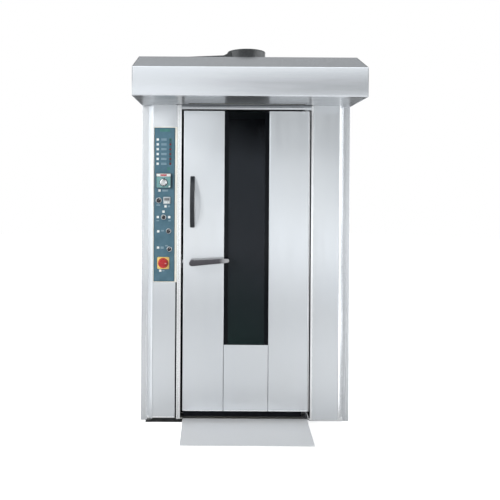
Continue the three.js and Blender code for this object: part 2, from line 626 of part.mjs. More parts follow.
function addAirSystem() {
  const low = floorTop + GAP;
  const half = CHAMBER_HALF - GAP;
  const span = [baffleFront - THROUGH, baffleFront + SHEET + THROUGH];
  const openings = [rod("y", BAFFLE_EYE, span, [0, fanHeight])];
  const pitch = (slotHigh - SLOT_LOW) / (SLOT_ROWS - 1);
  for (let i = 0; i < SLOT_ROWS; i++) {
    const z = SLOT_LOW + i * pitch;
    for (const x of [-slotColumn, slotColumn]) {
      openings.push(block([x - SLOT_WIDTH / 2, x + SLOT_WIDTH / 2], span, [z, z + SLOT_HEIGHT]));
    }
  }
  const sheet = block([-half, half], [baffleFront, baffleFront + SHEET], [low, CHAMBER_TOP - GAP]);
  piece("air_baffle", "liner", cut(sheet, ...openings));

  const wheelFront = baffleFront + SHEET + FAN_FRONT_SPACE;
  const wheelBack = wheelFront + FAN_DEPTH;
  const ring = cut(
    rod("y", FAN_RADIUS, [wheelFront, wheelFront + FAN_PLATE], [0, 0]),
    rod("y", FAN_EYE, [wheelFront - THROUGH, wheelFront + FAN_PLATE + THROUGH], [0, 0]),
  );
  const parts = [
    ring,
    rod("y", FAN_RADIUS, [wheelBack - FAN_PLATE, wheelBack], [0, 0]),
    rod("y", FAN_HUB, [wheelBack - FAN_HUB, wheelBack + FAN_PLATE], [0, 0]),
    rod("y", FAN_SHAFT, [wheelBack - FAN_PLATE, plenumBack + SHEET + WOOL_SPACE + FAN_SHAFT_BITE], [0, 0]),
  ];
  for (let i = 0; i < FAN_BLADES; i++) {
    const blade = block([-FAN_PLATE / 2, FAN_PLATE / 2],
      [wheelFront + FAN_PLATE / 2, wheelBack - FAN_PLATE / 2], [0, FAN_RADIUS - FAN_BLADE_INNER - FAN_PLATE]);
    blade.rotateY(THREE.MathUtils.degToRad(FAN_BLADE_LEAN)).translate(0, 0, FAN_BLADE_INNER);
    parts.push(blade.rotateY((i * 2 * Math.PI) / FAN_BLADES));
  }
  const wheel = piece("fan_impeller", "liner", join(...parts));
  wheel.position.z = fanHeight;

  const motorFront = plenumBack + SHEET + WOOL_SPACE;
  const motor = rod("y", FAN_MOTOR_RADIUS, [motorFront, motorFront + FAN_MOTOR_LENGTH], [0, fanHeight]);
  const bore = rod("y", FAN_SHAFT + RUN_GAP, [motorFront - THROUGH, motorFront + FAN_SHAFT_BITE + THROUGH],
    [0, fanHeight]);
  piece("fan_motor", "motorBlue", cut(motor, bore));

  const heaterY = baffleFront + SHEET + PLENUM_DEPTH / 2;
  const railY = [heaterY - HEATER_RAIL, heaterY + HEATER_RAIL];
  const heater = [
    block([-HEATER_HALF, HEATER_HALF], railY, [HEATER_LOW, HEATER_LOW + HEATER_RAIL]),
    block([-HEATER_HALF, HEATER_HALF], railY, [heaterHigh - HEATER_RAIL, heaterHigh]),
  ];
  const tubeEnds = [HEATER_LOW + HEATER_RAIL / 2, heaterHigh - HEATER_RAIL / 2];
  for (let i = 0; i < HEATER_TUBES; i++) {
    const x = -HEATER_HALF + ((i + 0.5) * 2 * HEATER_HALF) / HEATER_TUBES;
    heater.push(rod("z", HEATER_TUBE, tubeEnds, [x, heaterY]));
  }
  piece("heater_bank", "charcoal", join(...heater));

  const cascadeX = [-CHAMBER_HALF + CASCADE_WALL, -CHAMBER_HALF + CASCADE_WALL + CASCADE_WIDTH];
  const cascadeY = [heaterY - CASCADE_DEPTH / 2, heaterY + CASCADE_DEPTH / 2];
  const cascadeZ = [CASCADE_LOW, CASCADE_HIGH];
  const cascade = [
    block([cascadeX[0], cascadeX[0] + CASCADE_WALL], cascadeY, cascadeZ),
    block([cascadeX[1] - CASCADE_WALL, cascadeX[1]], cascadeY, cascadeZ),
  ];
  const shelfPitch = (CASCADE_HIGH - CASCADE_LOW) / CASCADE_SHELVES;
  for (let i = 0; i < CASCADE_SHELVES; i++) {
    const z = CASCADE_LOW + (i + 0.5) * shelfPitch;
    const tray = [
      [cascadeY[1], z + CASCADE_RISE], [heaterY, z], [cascadeY[0], z + CASCADE_RISE],
    ];
    cascade.push(prismX(folded(tray, CASCADE_WALL), ...cascadeX));
  }
  piece("steam_cascade", "plate", join(...cascade));
}

// ---------------------------------------------------------------- hood and flue
function addHood() {
  const slope = HOOD_RISE / HOOD_SLOPE_RUN;
  const slant = SHEET * Math.hypot(1, slope);
  const fasciaTop = bodyTop;
  const bodySide = bodyFront - GAP;
  const overBody = bodyTop + GAP;
  const outside = [
    [hoodFront, hoodBottom], [hoodFront, fasciaTop], [hoodFront + HOOD_SLOPE_RUN, hoodTop],
    [hoodBack, hoodTop], [hoodBack, overBody], [bodySide, overBody], [bodySide, hoodBottom],
  ];
  const innerFront = hoodFront + SHEET;
  const innerTop = hoodTop - SHEET;
  const innerSlope = (y) => fasciaTop + (y - hoodFront) * slope - slant;
  const innerBend = hoodFront + (innerTop - fasciaTop + slant) / slope;
  const inside = [
    [innerFront, hoodBottom - THROUGH], [innerFront, innerSlope(innerFront)], [innerBend, innerTop],
    [hoodBack - SHEET, innerTop], [hoodBack - SHEET, hoodBottom - THROUGH],
  ];
  const shell = cut(prismX(outside, -sideX, sideX), prismX(inside, -sideX + SHEET, sideX - SHEET));
  const lip = block([-sideX + SHEET / 2, sideX - SHEET / 2], [hoodFront, hoodFront + HOOD_LIP],
    [hoodBottom, hoodBottom + SHEET]);
  const flueHole = rod("z", FLUE_DIAMETER / 2 + GAP, [hoodTop - SHEET - THROUGH, hoodTop + THROUGH],
    [0, flueY]);
  piece("hood_shell", "steel", cut(join(shell, lip), flueHole));
  const soffitZ = [hoodBottom + SHEET + GAP, hoodBottom + 2 * SHEET + GAP];
  const soffit = block([-sideX + SHEET + GAP, sideX - SHEET - GAP],
    [hoodFront + SHEET + GAP, bodyFront - GAP], soffitZ);
  const intake = block([-INTAKE_HALF, INTAKE_HALF],
    [facade - INTAKE_INSET - INTAKE_WIDTH, facade - INTAKE_INSET],
    [hoodBottom - THROUGH, soffitZ[1] + THROUGH]);
  piece("hood_soffit", "mirrorSteel", cut(soffit, intake));
}

function addFlue() {
  const radius = FLUE_DIAMETER / 2;
  const seat = hoodTop + GAP;
  const ductBack = flueY + SIDE_DUCT_DEPTH / 2;
  const ductFront = flueY - SIDE_DUCT_DEPTH / 2;
  const ductSide = [
    [-SIDE_DUCT_REACH, seat], [0, seat], [0, seat + SIDE_DUCT_HIGH],
    [-radius, seat + SIDE_DUCT_HIGH], [-SIDE_DUCT_REACH, seat + SIDE_DUCT_LOW],
  ];
  const bore = rod("z", radius - FLUE_WALL, [flueTail - THROUGH, flueTop + THROUGH], [0, flueY]);
  const duct = prismY(ductSide, ductFront, ductBack);
  const ductWay = prismY([
    [-SIDE_DUCT_REACH + SHEET, seat + SHEET], [0, seat + SHEET], [0, seat + SIDE_DUCT_HIGH - SHEET],
    [-radius, seat + SIDE_DUCT_HIGH - SHEET], [-SIDE_DUCT_REACH + SHEET, seat + SIDE_DUCT_LOW - SHEET],
  ], ductFront + SHEET, ductBack - SHEET);
  const pipe = cut(join(
    rod("z", radius, [flueTail, flueTop], [0, flueY]),
    rod("z", radius + FLUE_FLANGE, [seat, seat + SHEET], [0, flueY]),
    duct,
  ), ductWay);
  const spindleHole = rod("x", DAMPER_SPINDLE + RUN_GAP, [-radius - THROUGH, radius + THROUGH],
    [flueY, damperHeight]);
  piece("flue_pipe", "black", cut(pipe, bore, spindleHole));
  const blade = rod("z", radius - FLUE_WALL - DAMPER_SPACE, [-DAMPER_PLATE / 2, DAMPER_PLATE / 2], [0, 0]);
  const spindle = rod("x", DAMPER_SPINDLE, [-radius - SPINDLE_END, radius + SPINDLE_DRIVE_END], [0, 0]);
  const damper = piece("damper_blade", "plate", join(blade, spindle));
  damper.position.set(0, flueY, damperHeight);
}

// ---------------------------------------------------------------- ramp
function addRamp() {
  const back = facade - GAP;
  const front = facade - RAMP_REACH;
  const top = [[front, RAMP_PLATE], [back, RAMP_RISE]];
  const slab = [[front, 0], [front + RAMP_TOE, 0], [back, RAMP_RISE - RAMP_PLATE], top[1], top[0]];
  const cheek = [[front + RAMP_TOE, 0], [back, 0], [back, RAMP_RISE - RAMP_PLATE / 2]];
  piece("ramp", "steel", join(
    prismX(slab, -rampHalf, rampHalf),
    prismX(cheek, -rampHalf, -rampHalf + RAMP_PLATE),
    prismX(cheek, rampHalf - RAMP_PLATE, rampHalf),
  ));
}

// ---------------------------------------------------------------- door
function addDoor() {
  const skinBack = facade + SHEET;
  const glassLeft = GLASS_CENTRE - GLASS_HALF;
  const glassRight = GLASS_CENTRE + GLASS_HALF;
  const sideBack = doorBack - GAP;
  const leftLine = [[-DOOR_HALF, sideBack], [-DOOR_HALF, facade], [glassLeft, facade]];
  const rightLine = [[glassRight, facade], [DOOR_HALF, facade], [DOOR_HALF, sideBack]];
  const boltHole = block([-DOOR_HALF - THROUGH, -DOOR_HALF + BOLT_LENGTH + BOLT_TRAVEL],
    boltSpanY(GAP + RUN_GAP), boltSpanZ(GAP + RUN_GAP));
  const spindleHole = rod("y", SPINDLE_RADIUS + RUN_GAP, [facade - THROUGH, facade + SPINDLE_DEPTH + THROUGH],
    [latchX, LATCH_Z]);
  piece("door_skin_left", "steel",
    cut(prismZ(folded(leftLine), DOOR_BOTTOM, doorTop), boltHole, spindleHole));
  piece("door_skin_right", "steel", prismZ(folded(rightLine), DOOR_BOTTOM, doorTop));
  piece("door_skin_lower", "steel",
    block([glassLeft + PANEL_SEAM, glassRight - PANEL_SEAM], [facade, skinBack],
      [DOOR_BOTTOM, GLASS_BOTTOM]));

  const coreHalf = DOOR_HALF - SHEET - GAP;
  const coreFront = skinBack + GAP;
  const coreLow = DOOR_BOTTOM + GAP;
  const coreHigh = doorTop - GAP;
  const glassLow = GLASS_BOTTOM - GLASS_BITE;
  const depth = [coreFront, doorBack];
  const surround = GLASS_BITE + GAP + SHEET;
  const tray = cut(block([-coreHalf, coreHalf], depth, [coreLow, coreHigh]),
    block([-coreHalf + SHEET, coreHalf - SHEET], [coreFront - THROUGH, doorBack - SHEET],
      [coreLow + SHEET, coreHigh - SHEET]));
  const hingeX = [bracketLeft, coreHalf];
  const core = join(
    tray,
    block([glassLeft - surround, glassRight + surround], depth, [GLASS_BOTTOM - surround, coreHigh]),
    block(hingeX, depth, [coreLow, coreLow + HINGE_BLOCK]),
    block(hingeX, depth, [coreHigh - HINGE_BLOCK, coreHigh]),
    block([-coreHalf, -coreHalf + BOLT_LENGTH + GUIDE_WALL], boltSpanY(GUIDE_WALL), boltSpanZ(GUIDE_WALL)),
    block([-coreHalf, -coreHalf + BOLT_LENGTH + GUIDE_WALL], [facade + BOLT_SETBACK, doorBack],
      boltSpanZ(GUIDE_WALL)),
  );
  const windowWay = block([glassLeft, glassRight], [coreFront - THROUGH, doorBack + THROUGH],
    [GLASS_BOTTOM, innerGlassTop]);
  const rebateX = [glassLeft - GLASS_BITE - GAP, glassRight + GLASS_BITE + GAP];
  const frontRebate = block(rebateX, [coreFront - THROUGH, coreFront + GLASS_THICK + 2 * GAP],
    [glassLow - GAP, doorTop + THROUGH]);
  const backRebate = block(rebateX, [doorBack - GLASS_THICK - 2 * GAP, doorBack + THROUGH],
    [glassLow - GAP, innerGlassTop + GLASS_BITE + GAP]);
  const pinHole = (z0, z1) => rod("z", PIN_RADIUS + RUN_GAP, [z0, z1], [pivotX, pivotY]);
  piece("door_pan", "liner", cut(core, windowWay, frontRebate, backRebate, boltHole, spindleHole,
    pinHole(DOOR_BOTTOM - THROUGH, DOOR_BOTTOM + PIN_REACH + THROUGH),
    pinHole(doorTop - PIN_REACH - THROUGH, doorTop + THROUGH)));

  const woolHalf = coreHalf - SHEET - WOOL_SPACE;
  const woolDepth = [coreFront + GAP, doorBack - SHEET - WOOL_SPACE];
  const woolGap = surround + WOOL_SPACE;
  const blockSide = bracketLeft - WOOL_SPACE;
  const wool = block([-woolHalf, woolHalf], woolDepth,
    [coreLow + SHEET + WOOL_SPACE, coreHigh - SHEET - WOOL_SPACE]);
  const wayThrough = [coreFront - THROUGH, doorBack + THROUGH];
  const guideSpace = GUIDE_WALL + WOOL_SPACE;
  piece("door_insulation", "wool", cut(wool,
    block([glassLeft - woolGap, glassRight + woolGap], wayThrough,
      [GLASS_BOTTOM - woolGap, coreHigh + THROUGH]),
    block([blockSide, coreHalf], wayThrough, [coreLow - THROUGH, coreLow + HINGE_BLOCK + WOOL_SPACE]),
    block([blockSide, coreHalf], wayThrough, [coreHigh - HINGE_BLOCK - WOOL_SPACE, coreHigh + THROUGH]),
    block([-coreHalf, -coreHalf + BOLT_LENGTH + guideSpace],
      [facade + BOLT_SETBACK - guideSpace, doorBack + THROUGH], boltSpanZ(guideSpace)),
    rod("y", SPINDLE_RADIUS + WOOL_SPACE, [facade, facade + SPINDLE_DEPTH + THROUGH], [latchX, LATCH_Z]),
  ));

  const paneX = [glassLeft - GLASS_BITE, glassRight + GLASS_BITE];
  piece("door_glass_outer", "glass",
    block(paneX, [coreFront + GAP, coreFront + GAP + GLASS_THICK], [glassLow, doorTop - GAP]));
  piece("door_glass_inner", "glass",
    block(paneX, [doorBack - GAP - GLASS_THICK, doorBack - GAP], [glassLow, innerGlassTop + GLASS_BITE]));

  const sealLow = DOOR_BOTTOM + SEAL_LIFT;
    const sealY = [doorBack + GAP, doorBack + SEAL_THICK];
  const seal = block([-sealHalf, sealHalf], sealY, [sealLow, sealTop]);
  const sealInside = block([-sealHalf + SEAL_WIDTH, sealHalf - SEAL_WIDTH],
    [sealY[0] - THROUGH, sealY[1] + THROUGH], [sealLow + SEAL_WIDTH, sealTop - SEAL_WIDTH]);
  piece("door_gasket", "rubber", cut(seal, sealInside));
  piece("door_sweep", "rubber",
    block([-DOOR_HALF + SHEET, bracketLeft - SWEEP_END_SPACE],
      [facade + SWEEP_SETBACK, facade + SWEEP_SETBACK + SWEEP_THICK],
      [floorTop + SWEEP_CLEAR, DOOR_BOTTOM - GAP]));
}

function addHinges() {
  const span = [facade + BRACKET_SETBACK, facade + BRACKET_SETBACK + BRACKET_DEPTH];
  const upperZ = lintelBottom + GAP;
  piece("hinge_bracket_upper", "steel", join(
    block([bracketLeft, bracketRight], span, [upperZ, upperZ + BRACKET_THICK]),
    rod("z", PIN_RADIUS, [doorTop - PIN_REACH, upperZ + BRACKET_THICK / 2], [pivotX, pivotY]),
  ));
  const lowerZ = floorTop + GAP;
  piece("hinge_bracket_lower", "steel", join(
    block([bracketLeft, bracketRight], span, [lowerZ, lowerZ + BRACKET_THICK]),
    rod("z", PIN_RADIUS, [lowerZ + BRACKET_THICK / 2, DOOR_BOTTOM + PIN_REACH], [pivotX, pivotY]),
  ));
}

// A bowed grip that stands proud in the middle and meets the door at both ends.
function addHandle() {
  // Points along one face of the bow, from its low end to its high end.
  const bow = (low, high, stand) =>
    Array.from({ length: HANDLE_STEPS + 1 }, (_, i) => {
      const rise = Math.sin((i / HANDLE_STEPS) * Math.PI) ** HANDLE_FULLNESS;
      return [facade - GAP - stand * rise, low + ((high - low) * i) / HANDLE_STEPS];
    });
  const outer = bow(HANDLE_LOW, HANDLE_HIGH, HANDLE_STAND);
  const inner = bow(HANDLE_LOW + HANDLE_THICK, HANDLE_HIGH - HANDLE_THICK, HANDLE_STAND - HANDLE_THICK);
  piece("door_handle", "charcoal",
    prismX([...outer, ...inner.reverse()], handleX - HANDLE_WIDTH / 2, handleX + HANDLE_WIDTH / 2));
}

function boltSpanY(space) {
  return [facade + BOLT_SETBACK - space, facade + BOLT_SETBACK + BOLT_DEPTH + space];
}

function boltSpanZ(space) {
  return [LATCH_Z - BOLT_HEIGHT / 2 - space, LATCH_Z + BOLT_HEIGHT / 2 + space];
}

function addLatch() {
  const bossFront = facade - LATCH_STAND;
  const boss = rod("y", LATCH_BOSS, [bossFront, facade - GAP], [latchX, LATCH_Z]);
  const bore = rod("y", SPINDLE_RADIUS + RUN_GAP, [bossFront - THROUGH, facade + THROUGH],
    [latchX, LATCH_Z]);
  piece("latch_housing", "leverGrey", cut(boss, bore));

  const tipX = LEVER_LENGTH - LEVER_TIP;
  const arc = (cx, r, from, to, steps) =>
    Array.from({ length: steps + 1 }, (_, i) => {
      const a = from + ((to - from) * i) / steps;
      return [cx + r * Math.cos(a), r * Math.sin(a)];
    });
  const quarter = Math.PI / 2;
  const lean = Math.asin((LEVER_ROOT - LEVER_TIP) / tipX);
  const shape = [
    ...arc(0, LEVER_ROOT, quarter - lean, 3 * quarter + lean, LEVER_STEPS),
    ...arc(tipX, LEVER_TIP, -quarter + lean, quarter - lean, LEVER_STEPS),
  ];
  const leverBack = -LATCH_STAND - GAP;
  const bar = prismY(shape, leverBack - LEVER_THICK, leverBack);
  const spindle = rod("y", SPINDLE_RADIUS, [leverBack - LEVER_THICK / 2, SPINDLE_DEPTH], [0, 0]);
  const lever = piece("latch_lever", "leverGrey", join(bar, spindle));
  lever.rotation.y = -THREE.MathUtils.degToRad(LEVER_TILT);
  lever.position.set(latchX, facade, LATCH_Z);
  piece("latch_bolt", "plate",
    block([-DOOR_HALF - BOLT_REACH, -DOOR_HALF - BOLT_REACH + BOLT_LENGTH], boltSpanY(0), boltSpanZ(0)));
}

// ---------------------------------------------------------------- rack drive
function toothedWheel(teeth, z0) {
  const pitchRadius = sprocketRadius(teeth);
  const tip = pitchRadius + CHAIN_PITCH * TOOTH_TIP;
  const root = pitchRadius - CHAIN_PITCH * TOOTH_ROOT;
  const tooth = [
    [-TOOTH_ROOT_SHARE, root], [-TOOTH_TIP_SHARE, tip], [TOOTH_TIP_SHARE, tip], [TOOTH_ROOT_SHARE, root],
  ];
  const rim = [];
  for (let i = 0; i < teeth; i++) {
    for (const [share, radius] of tooth) {
      const a = ((i + share) * 2 * Math.PI) / teeth;
      rim.push([radius * Math.cos(a), radius * Math.sin(a)]);
    }
  }
  return join(
    prismZ(rim, z0, z0 + SPROCKET_THICK),
    rod("z", SPROCKET_HUB, [z0, z0 + HUB_HEIGHT], [0, 0]),
  );
}

// The outline of a loop round both sprockets, at a radius above each pitch circle.
function chainLoop(extra) {
  const big = sprocketRadius(DRIVEN_TEETH) + extra;
  const small = sprocketRadius(DRIVING_TEETH) + extra;
  const lean = Math.asin((big - small) / DRIVE_OFFSET);
  const points = [];
  for (let i = 0; i <= CHAIN_STEPS; i++) {
    const a = Math.PI / 2 - lean + ((Math.PI + 2 * lean) * i) / CHAIN_STEPS;
    points.push([big * Math.cos(a), big * Math.sin(a) + carrierY]);
  }
  for (let i = 0; i <= CHAIN_STEPS; i++) {
    const a = -Math.PI / 2 + lean + ((Math.PI - 2 * lean) * i) / CHAIN_STEPS;
    points.push([DRIVE_OFFSET + small * Math.cos(a), small * Math.sin(a) + carrierY]);
  }
  return points;
}

function addDrive() {
  const barTop = CHAMBER_TOP - CARRIER_DROP;
  const barZ = [barTop - CARRIER_HEIGHT, barTop];
  const axis = [0, carrierY];
  piece("drive_shaft", "plate", rod("z", SHAFT_RADIUS, [barZ[0], shaftTop], axis));
  const hubZ = [barZ[0] - GAP, barTop + CARRIER_HEIGHT];
  const arm = [
    block([-CARRIER_HALF, CARRIER_HALF], [-CARRIER_WIDTH / 2, CARRIER_WIDTH / 2], barZ),
    rod("z", CARRIER_HUB, hubZ, [0, 0]),
  ];
  for (const side of [-1, 1]) {
    const root = side * CARRIER_HALF;
    const inner = root - side * HOOK_THICK;
    const toe = root - side * HOOK_REACH;
    const along = (a, b) => [Math.min(a, b), Math.max(a, b)];
    const width = [-CARRIER_WIDTH / 2, CARRIER_WIDTH / 2];
    const heel = barZ[0] - HOOK_DROP;
    arm.push(block(along(root, inner), width, [heel, barTop]));
    arm.push(block(along(root, toe), width, [heel, heel + HOOK_THICK]));
    arm.push(block(along(toe, toe + side * HOOK_THICK), width, [heel, heel + 2 * HOOK_THICK]));
  }
  const shaftBore = rod("z", SHAFT_RADIUS + GAP, [hubZ[0] - THROUGH, hubZ[1] + THROUGH], [0, 0]);
  const carrier = piece("rack_carrier", "plate", cut(join(...arm), shaftBore));
  carrier.position.y = carrierY;

  const bearingLow = deckTop + GAP;
  const side = BEARING_FLANGE / 2;
  const housing = join(
    block([-side, side], [-side, side], [bearingLow, bearingLow + BEARING_FLANGE_THICK]),
    rod("z", BEARING_RADIUS, [bearingLow, bearingLow + BEARING_HEIGHT], [0, 0]),
  );
  const bearingBore = rod("z", SHAFT_RADIUS + RUN_GAP,
    [bearingLow - THROUGH, bearingLow + BEARING_HEIGHT + THROUGH], [0, 0]);
  piece("shaft_bearing", "black", cut(housing, bearingBore)).position.y = carrierY;

  const wheelBore = (radius) =>
    rod("z", radius + GAP, [sprocketLow - THROUGH, sprocketLow + HUB_HEIGHT + THROUGH], [0, 0]);
  const driven = cut(toothedWheel(DRIVEN_TEETH, sprocketLow), wheelBore(SHAFT_RADIUS));
  piece("driven_sprocket", "plate", driven).position.set(0, carrierY, 0);
  const output = rod("z", OUTPUT_RADIUS,
    [bearingLow + GEARBOX_HEIGHT / 2, sprocketLow + HUB_HEIGHT], [0, 0]);
  piece("drive_sprocket", "plate", join(toothedWheel(DRIVING_TEETH, sprocketLow), output))
    .position.set(DRIVE_OFFSET, carrierY, 0);

  const tipSpace = CHAIN_PITCH * TOOTH_TIP + CHAIN_CLEAR;
  const chainMiddle = sprocketLow + SPROCKET_THICK / 2;
  const chainZ = [chainMiddle - CHAIN_DEPTH / 2, chainMiddle + CHAIN_DEPTH / 2];
  piece("drive_chain", "plate", cut(
    prismZ(chainLoop(tipSpace + CHAIN_THICK), ...chainZ),
    prismZ(chainLoop(tipSpace), chainZ[0] - THROUGH, chainZ[1] + THROUGH),
  ));

  const boxHalf = GEARBOX_SIDE / 2;
  const motorZ = bearingLow + MOTOR_RADIUS + SHEET;
  const gearbox = block([-boxHalf, boxHalf], [-boxHalf, boxHalf], [bearingLow, bearingLow + GEARBOX_HEIGHT]);
  const neck = block([boxHalf - SHEET, boxHalf + MOTOR_NECK], [-boxHalf, boxHalf],
    [bearingLow, bearingLow + GEARBOX_HEIGHT]);
  const motorStart = boxHalf + MOTOR_NECK - MOTOR_BITE;
  const motor = rod("x", MOTOR_RADIUS, [motorStart, motorStart + MOTOR_LENGTH], [0, motorZ]);
  const outputBore = rod("z", OUTPUT_RADIUS + RUN_GAP,
    [bearingLow + GEARBOX_HEIGHT / 2 - RUN_GAP, bearingLow + GEARBOX_HEIGHT + THROUGH], [0, 0]);
  piece("gearmotor", "motorBlue", cut(join(gearbox, neck, motor), outputBore))
    .position.set(DRIVE_OFFSET, carrierY, 0);
}

// ---------------------------------------------------------------- controls
const plateFront = facade - GAP - PLATE_THICK;

function controlStems() {
  const span = [facade - GAP - PLATE_THICK - THROUGH, facade + SHEET + THROUGH];
  const hole = (x, z) => rod("y", STEM_RADIUS + RUN_GAP, span, [x, z]);
  return [
    ...SELECTORS.map(([, shift, down]) => hole(controlX + shift, plateHigh - down)),
    hole(controlX, timerKnobZ),
    hole(controlX, switchZ),
  ];
}

// A round flange with a raised grip bar across it and a stem behind, turning about its own axis.
function selectorKnob(radius, proud, flange, grip, angle) {
  const bar = block([-grip / 2, grip / 2], [-proud, -flange / 2],
    [-radius + GRIP_INSET, radius - GRIP_INSET]);
  return join(
    rod("y", radius, [-flange, 0], [0, 0]),
    bar.rotateY(THREE.MathUtils.degToRad(angle)),
    rod("y", STEM_RADIUS, [-flange / 2, STEM_DEPTH], [0, 0]),
  );
}

function addControls() {
  const plate = block([plateLeft, plateRight], [plateFront, facade - GAP], [plateLow, plateHigh]);
  const lampLast = lampFirst - (LAMP_COUNT - 1) * LAMP_PITCH;
  const lampSlot = block([lampX - LAMP_RADIUS - RUN_GAP, lampX + LAMP_RADIUS + RUN_GAP],
    [plateFront - THROUGH, facade], [lampLast - LAMP_RADIUS - RUN_GAP, lampFirst + LAMP_RADIUS + RUN_GAP]);
  piece("overlay_plate", "teal", cut(plate, ...controlStems(), lampSlot));

  const lamps = [block([lampX - LAMP_RADIUS, lampX + LAMP_RADIUS],
    [plateFront, plateFront + PLATE_THICK - GAP], [lampLast - LAMP_RADIUS, lampFirst + LAMP_RADIUS])];
  for (let i = 0; i < LAMP_COUNT; i++) {
    const z = lampFirst - i * LAMP_PITCH;
    lamps.push(rod("y", LAMP_RADIUS - RUN_GAP, [plateFront - LAMP_PROUD, plateFront + PLATE_THICK / 2],
      [lampX, z]));
  }
  piece("indicator_lamps", "lamp", join(...lamps));

  const seat = plateFront - GAP;
  const timerHalf = TIMER_SIDE / 2;
  const timer = block([controlX - timerHalf, controlX + timerHalf], [seat - TIMER_PROUD, seat],
    [timerZ - timerHalf, timerZ + timerHalf]);
  const stemHole = (z, front) =>
    rod("y", STEM_RADIUS + RUN_GAP, [front - THROUGH, seat + THROUGH], [controlX, z]);
  piece("timer_case", "timerFace", cut(timer, stemHole(timerKnobZ, seat - TIMER_PROUD)));
  const timerKnob = piece("timer_knob", "knobSilver", join(
    rod("y", TIMER_KNOB_RADIUS, [-TIMER_KNOB_SKIRT, 0], [0, 0]),
    rod("y", TIMER_KNOB_GRIP, [-TIMER_KNOB_PROUD, 0], [0, 0]),
    rod("y", STEM_RADIUS, [-GAP, TIMER_PROUD + STEM_DEPTH], [0, 0]),
  ));
  timerKnob.position.set(controlX, seat - TIMER_PROUD - GAP, timerKnobZ);

  const meterHalf = METER_SIDE / 2;
  piece("temperature_display", "knobSilver",
    block([meterX - meterHalf, meterX + meterHalf], [seat - METER_PROUD, seat],
      [meterZ - meterHalf, meterZ + meterHalf]));

  for (const [name, shift, down, radius, angle] of SELECTORS) {
    const knob = selectorKnob(radius, SELECTOR_PROUD, SELECTOR_FLANGE, GRIP_WIDTH, angle);
    piece(name, "knobSilver", knob).position.set(controlX + shift, seat, plateHigh - down);
  }

  const switchHalf = SWITCH_SIDE / 2;
  const switchPlate = block([controlX - switchHalf, controlX + switchHalf], [seat - SWITCH_PLATE, seat],
    [switchZ - switchHalf, switchZ + switchHalf]);
  piece("switch_plate", "yellow", cut(switchPlate, stemHole(switchZ, seat - SWITCH_PLATE)));
  const switchKnob = selectorKnob(SWITCH_KNOB, SWITCH_PROUD, SWITCH_FLANGE, SWITCH_GRIP, 90);
  piece("main_switch_knob", "red", switchKnob).position.set(controlX, seat - SWITCH_PLATE - GAP, switchZ);
}

addBase();
addPanels();
addFacade();
addFrontFrame();
addChamber();
addAirSystem();
addHood();
addFlue();
addRamp();
addDoor();
addHinges();
addHandle();
addLatch();
addDrive();
addControls();

export default oven;
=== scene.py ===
"""The looks of the rotating rack oven: rounded sheet metal, glass, grips and control details round the frame.

Metres, +Z up, the front faces -Y, as in the frame.
"""

import math

import bmesh
import bpy
from mathutils import Matrix, Vector


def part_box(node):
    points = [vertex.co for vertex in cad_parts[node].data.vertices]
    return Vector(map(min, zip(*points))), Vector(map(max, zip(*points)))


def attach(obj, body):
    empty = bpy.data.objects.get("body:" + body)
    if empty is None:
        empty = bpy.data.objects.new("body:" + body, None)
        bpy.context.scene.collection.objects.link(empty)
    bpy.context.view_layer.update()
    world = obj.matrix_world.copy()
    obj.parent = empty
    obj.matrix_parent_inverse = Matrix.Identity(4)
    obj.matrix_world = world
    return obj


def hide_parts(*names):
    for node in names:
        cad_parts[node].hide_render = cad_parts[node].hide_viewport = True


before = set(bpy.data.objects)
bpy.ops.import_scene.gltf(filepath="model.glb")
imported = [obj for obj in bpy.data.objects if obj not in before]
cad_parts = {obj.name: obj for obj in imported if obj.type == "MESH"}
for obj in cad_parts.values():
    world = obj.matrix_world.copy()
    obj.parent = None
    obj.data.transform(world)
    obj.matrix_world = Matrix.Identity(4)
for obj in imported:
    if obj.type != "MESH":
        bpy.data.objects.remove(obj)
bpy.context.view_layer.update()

# ---------------- sizes
MM = 0.001
SHEET = 2 * MM
FOLD = 6 * MM  # outer radius of the hood's folded corners
DOOR_FOLD = 6.5 * MM
EDGE_FOLD = 3 * MM  # of the casing's corners
FOLD_STEPS = 8
CROWN_WIDTH = 12 * MM  # soft edge of a door skin, across
CROWN_DEPTH = 2.2 * MM  # and back
CROWN_STEPS = 6
CLEARANCE = 0.3 * MM
MARK_LIFT = 0.02 * MM  # keeps a thin mark off the face behind it
SMOOTH_ANGLE = math.radians(32)
SOFTEN_ANGLE = math.radians(35)
SAME_PLACE = 1e-6
ROUND_STEPS = 64
CORNER_STEPS = 4
X, Y, Z = range(3)


def mm(*values):
    """Millimetres as metres."""
    return tuple(value * MM for value in values)


def span(node, axis):
    """The lowest and highest coordinate of a node along an axis."""
    low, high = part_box(node)
    return low[axis], high[axis]


def spans(node):
    """The spans of a node along x, y and z."""
    return [span(node, axis) for axis in (X, Y, Z)]


def grown(ends, by):
    """A span made longer at both ends."""
    return ends[0] - by, ends[1] + by


def beyond(place, low, high):
    """A span that starts and ends some millimetres past a place."""
    return place + low * MM, place + high * MM


facade = span("control_column_cover", Y)[0]


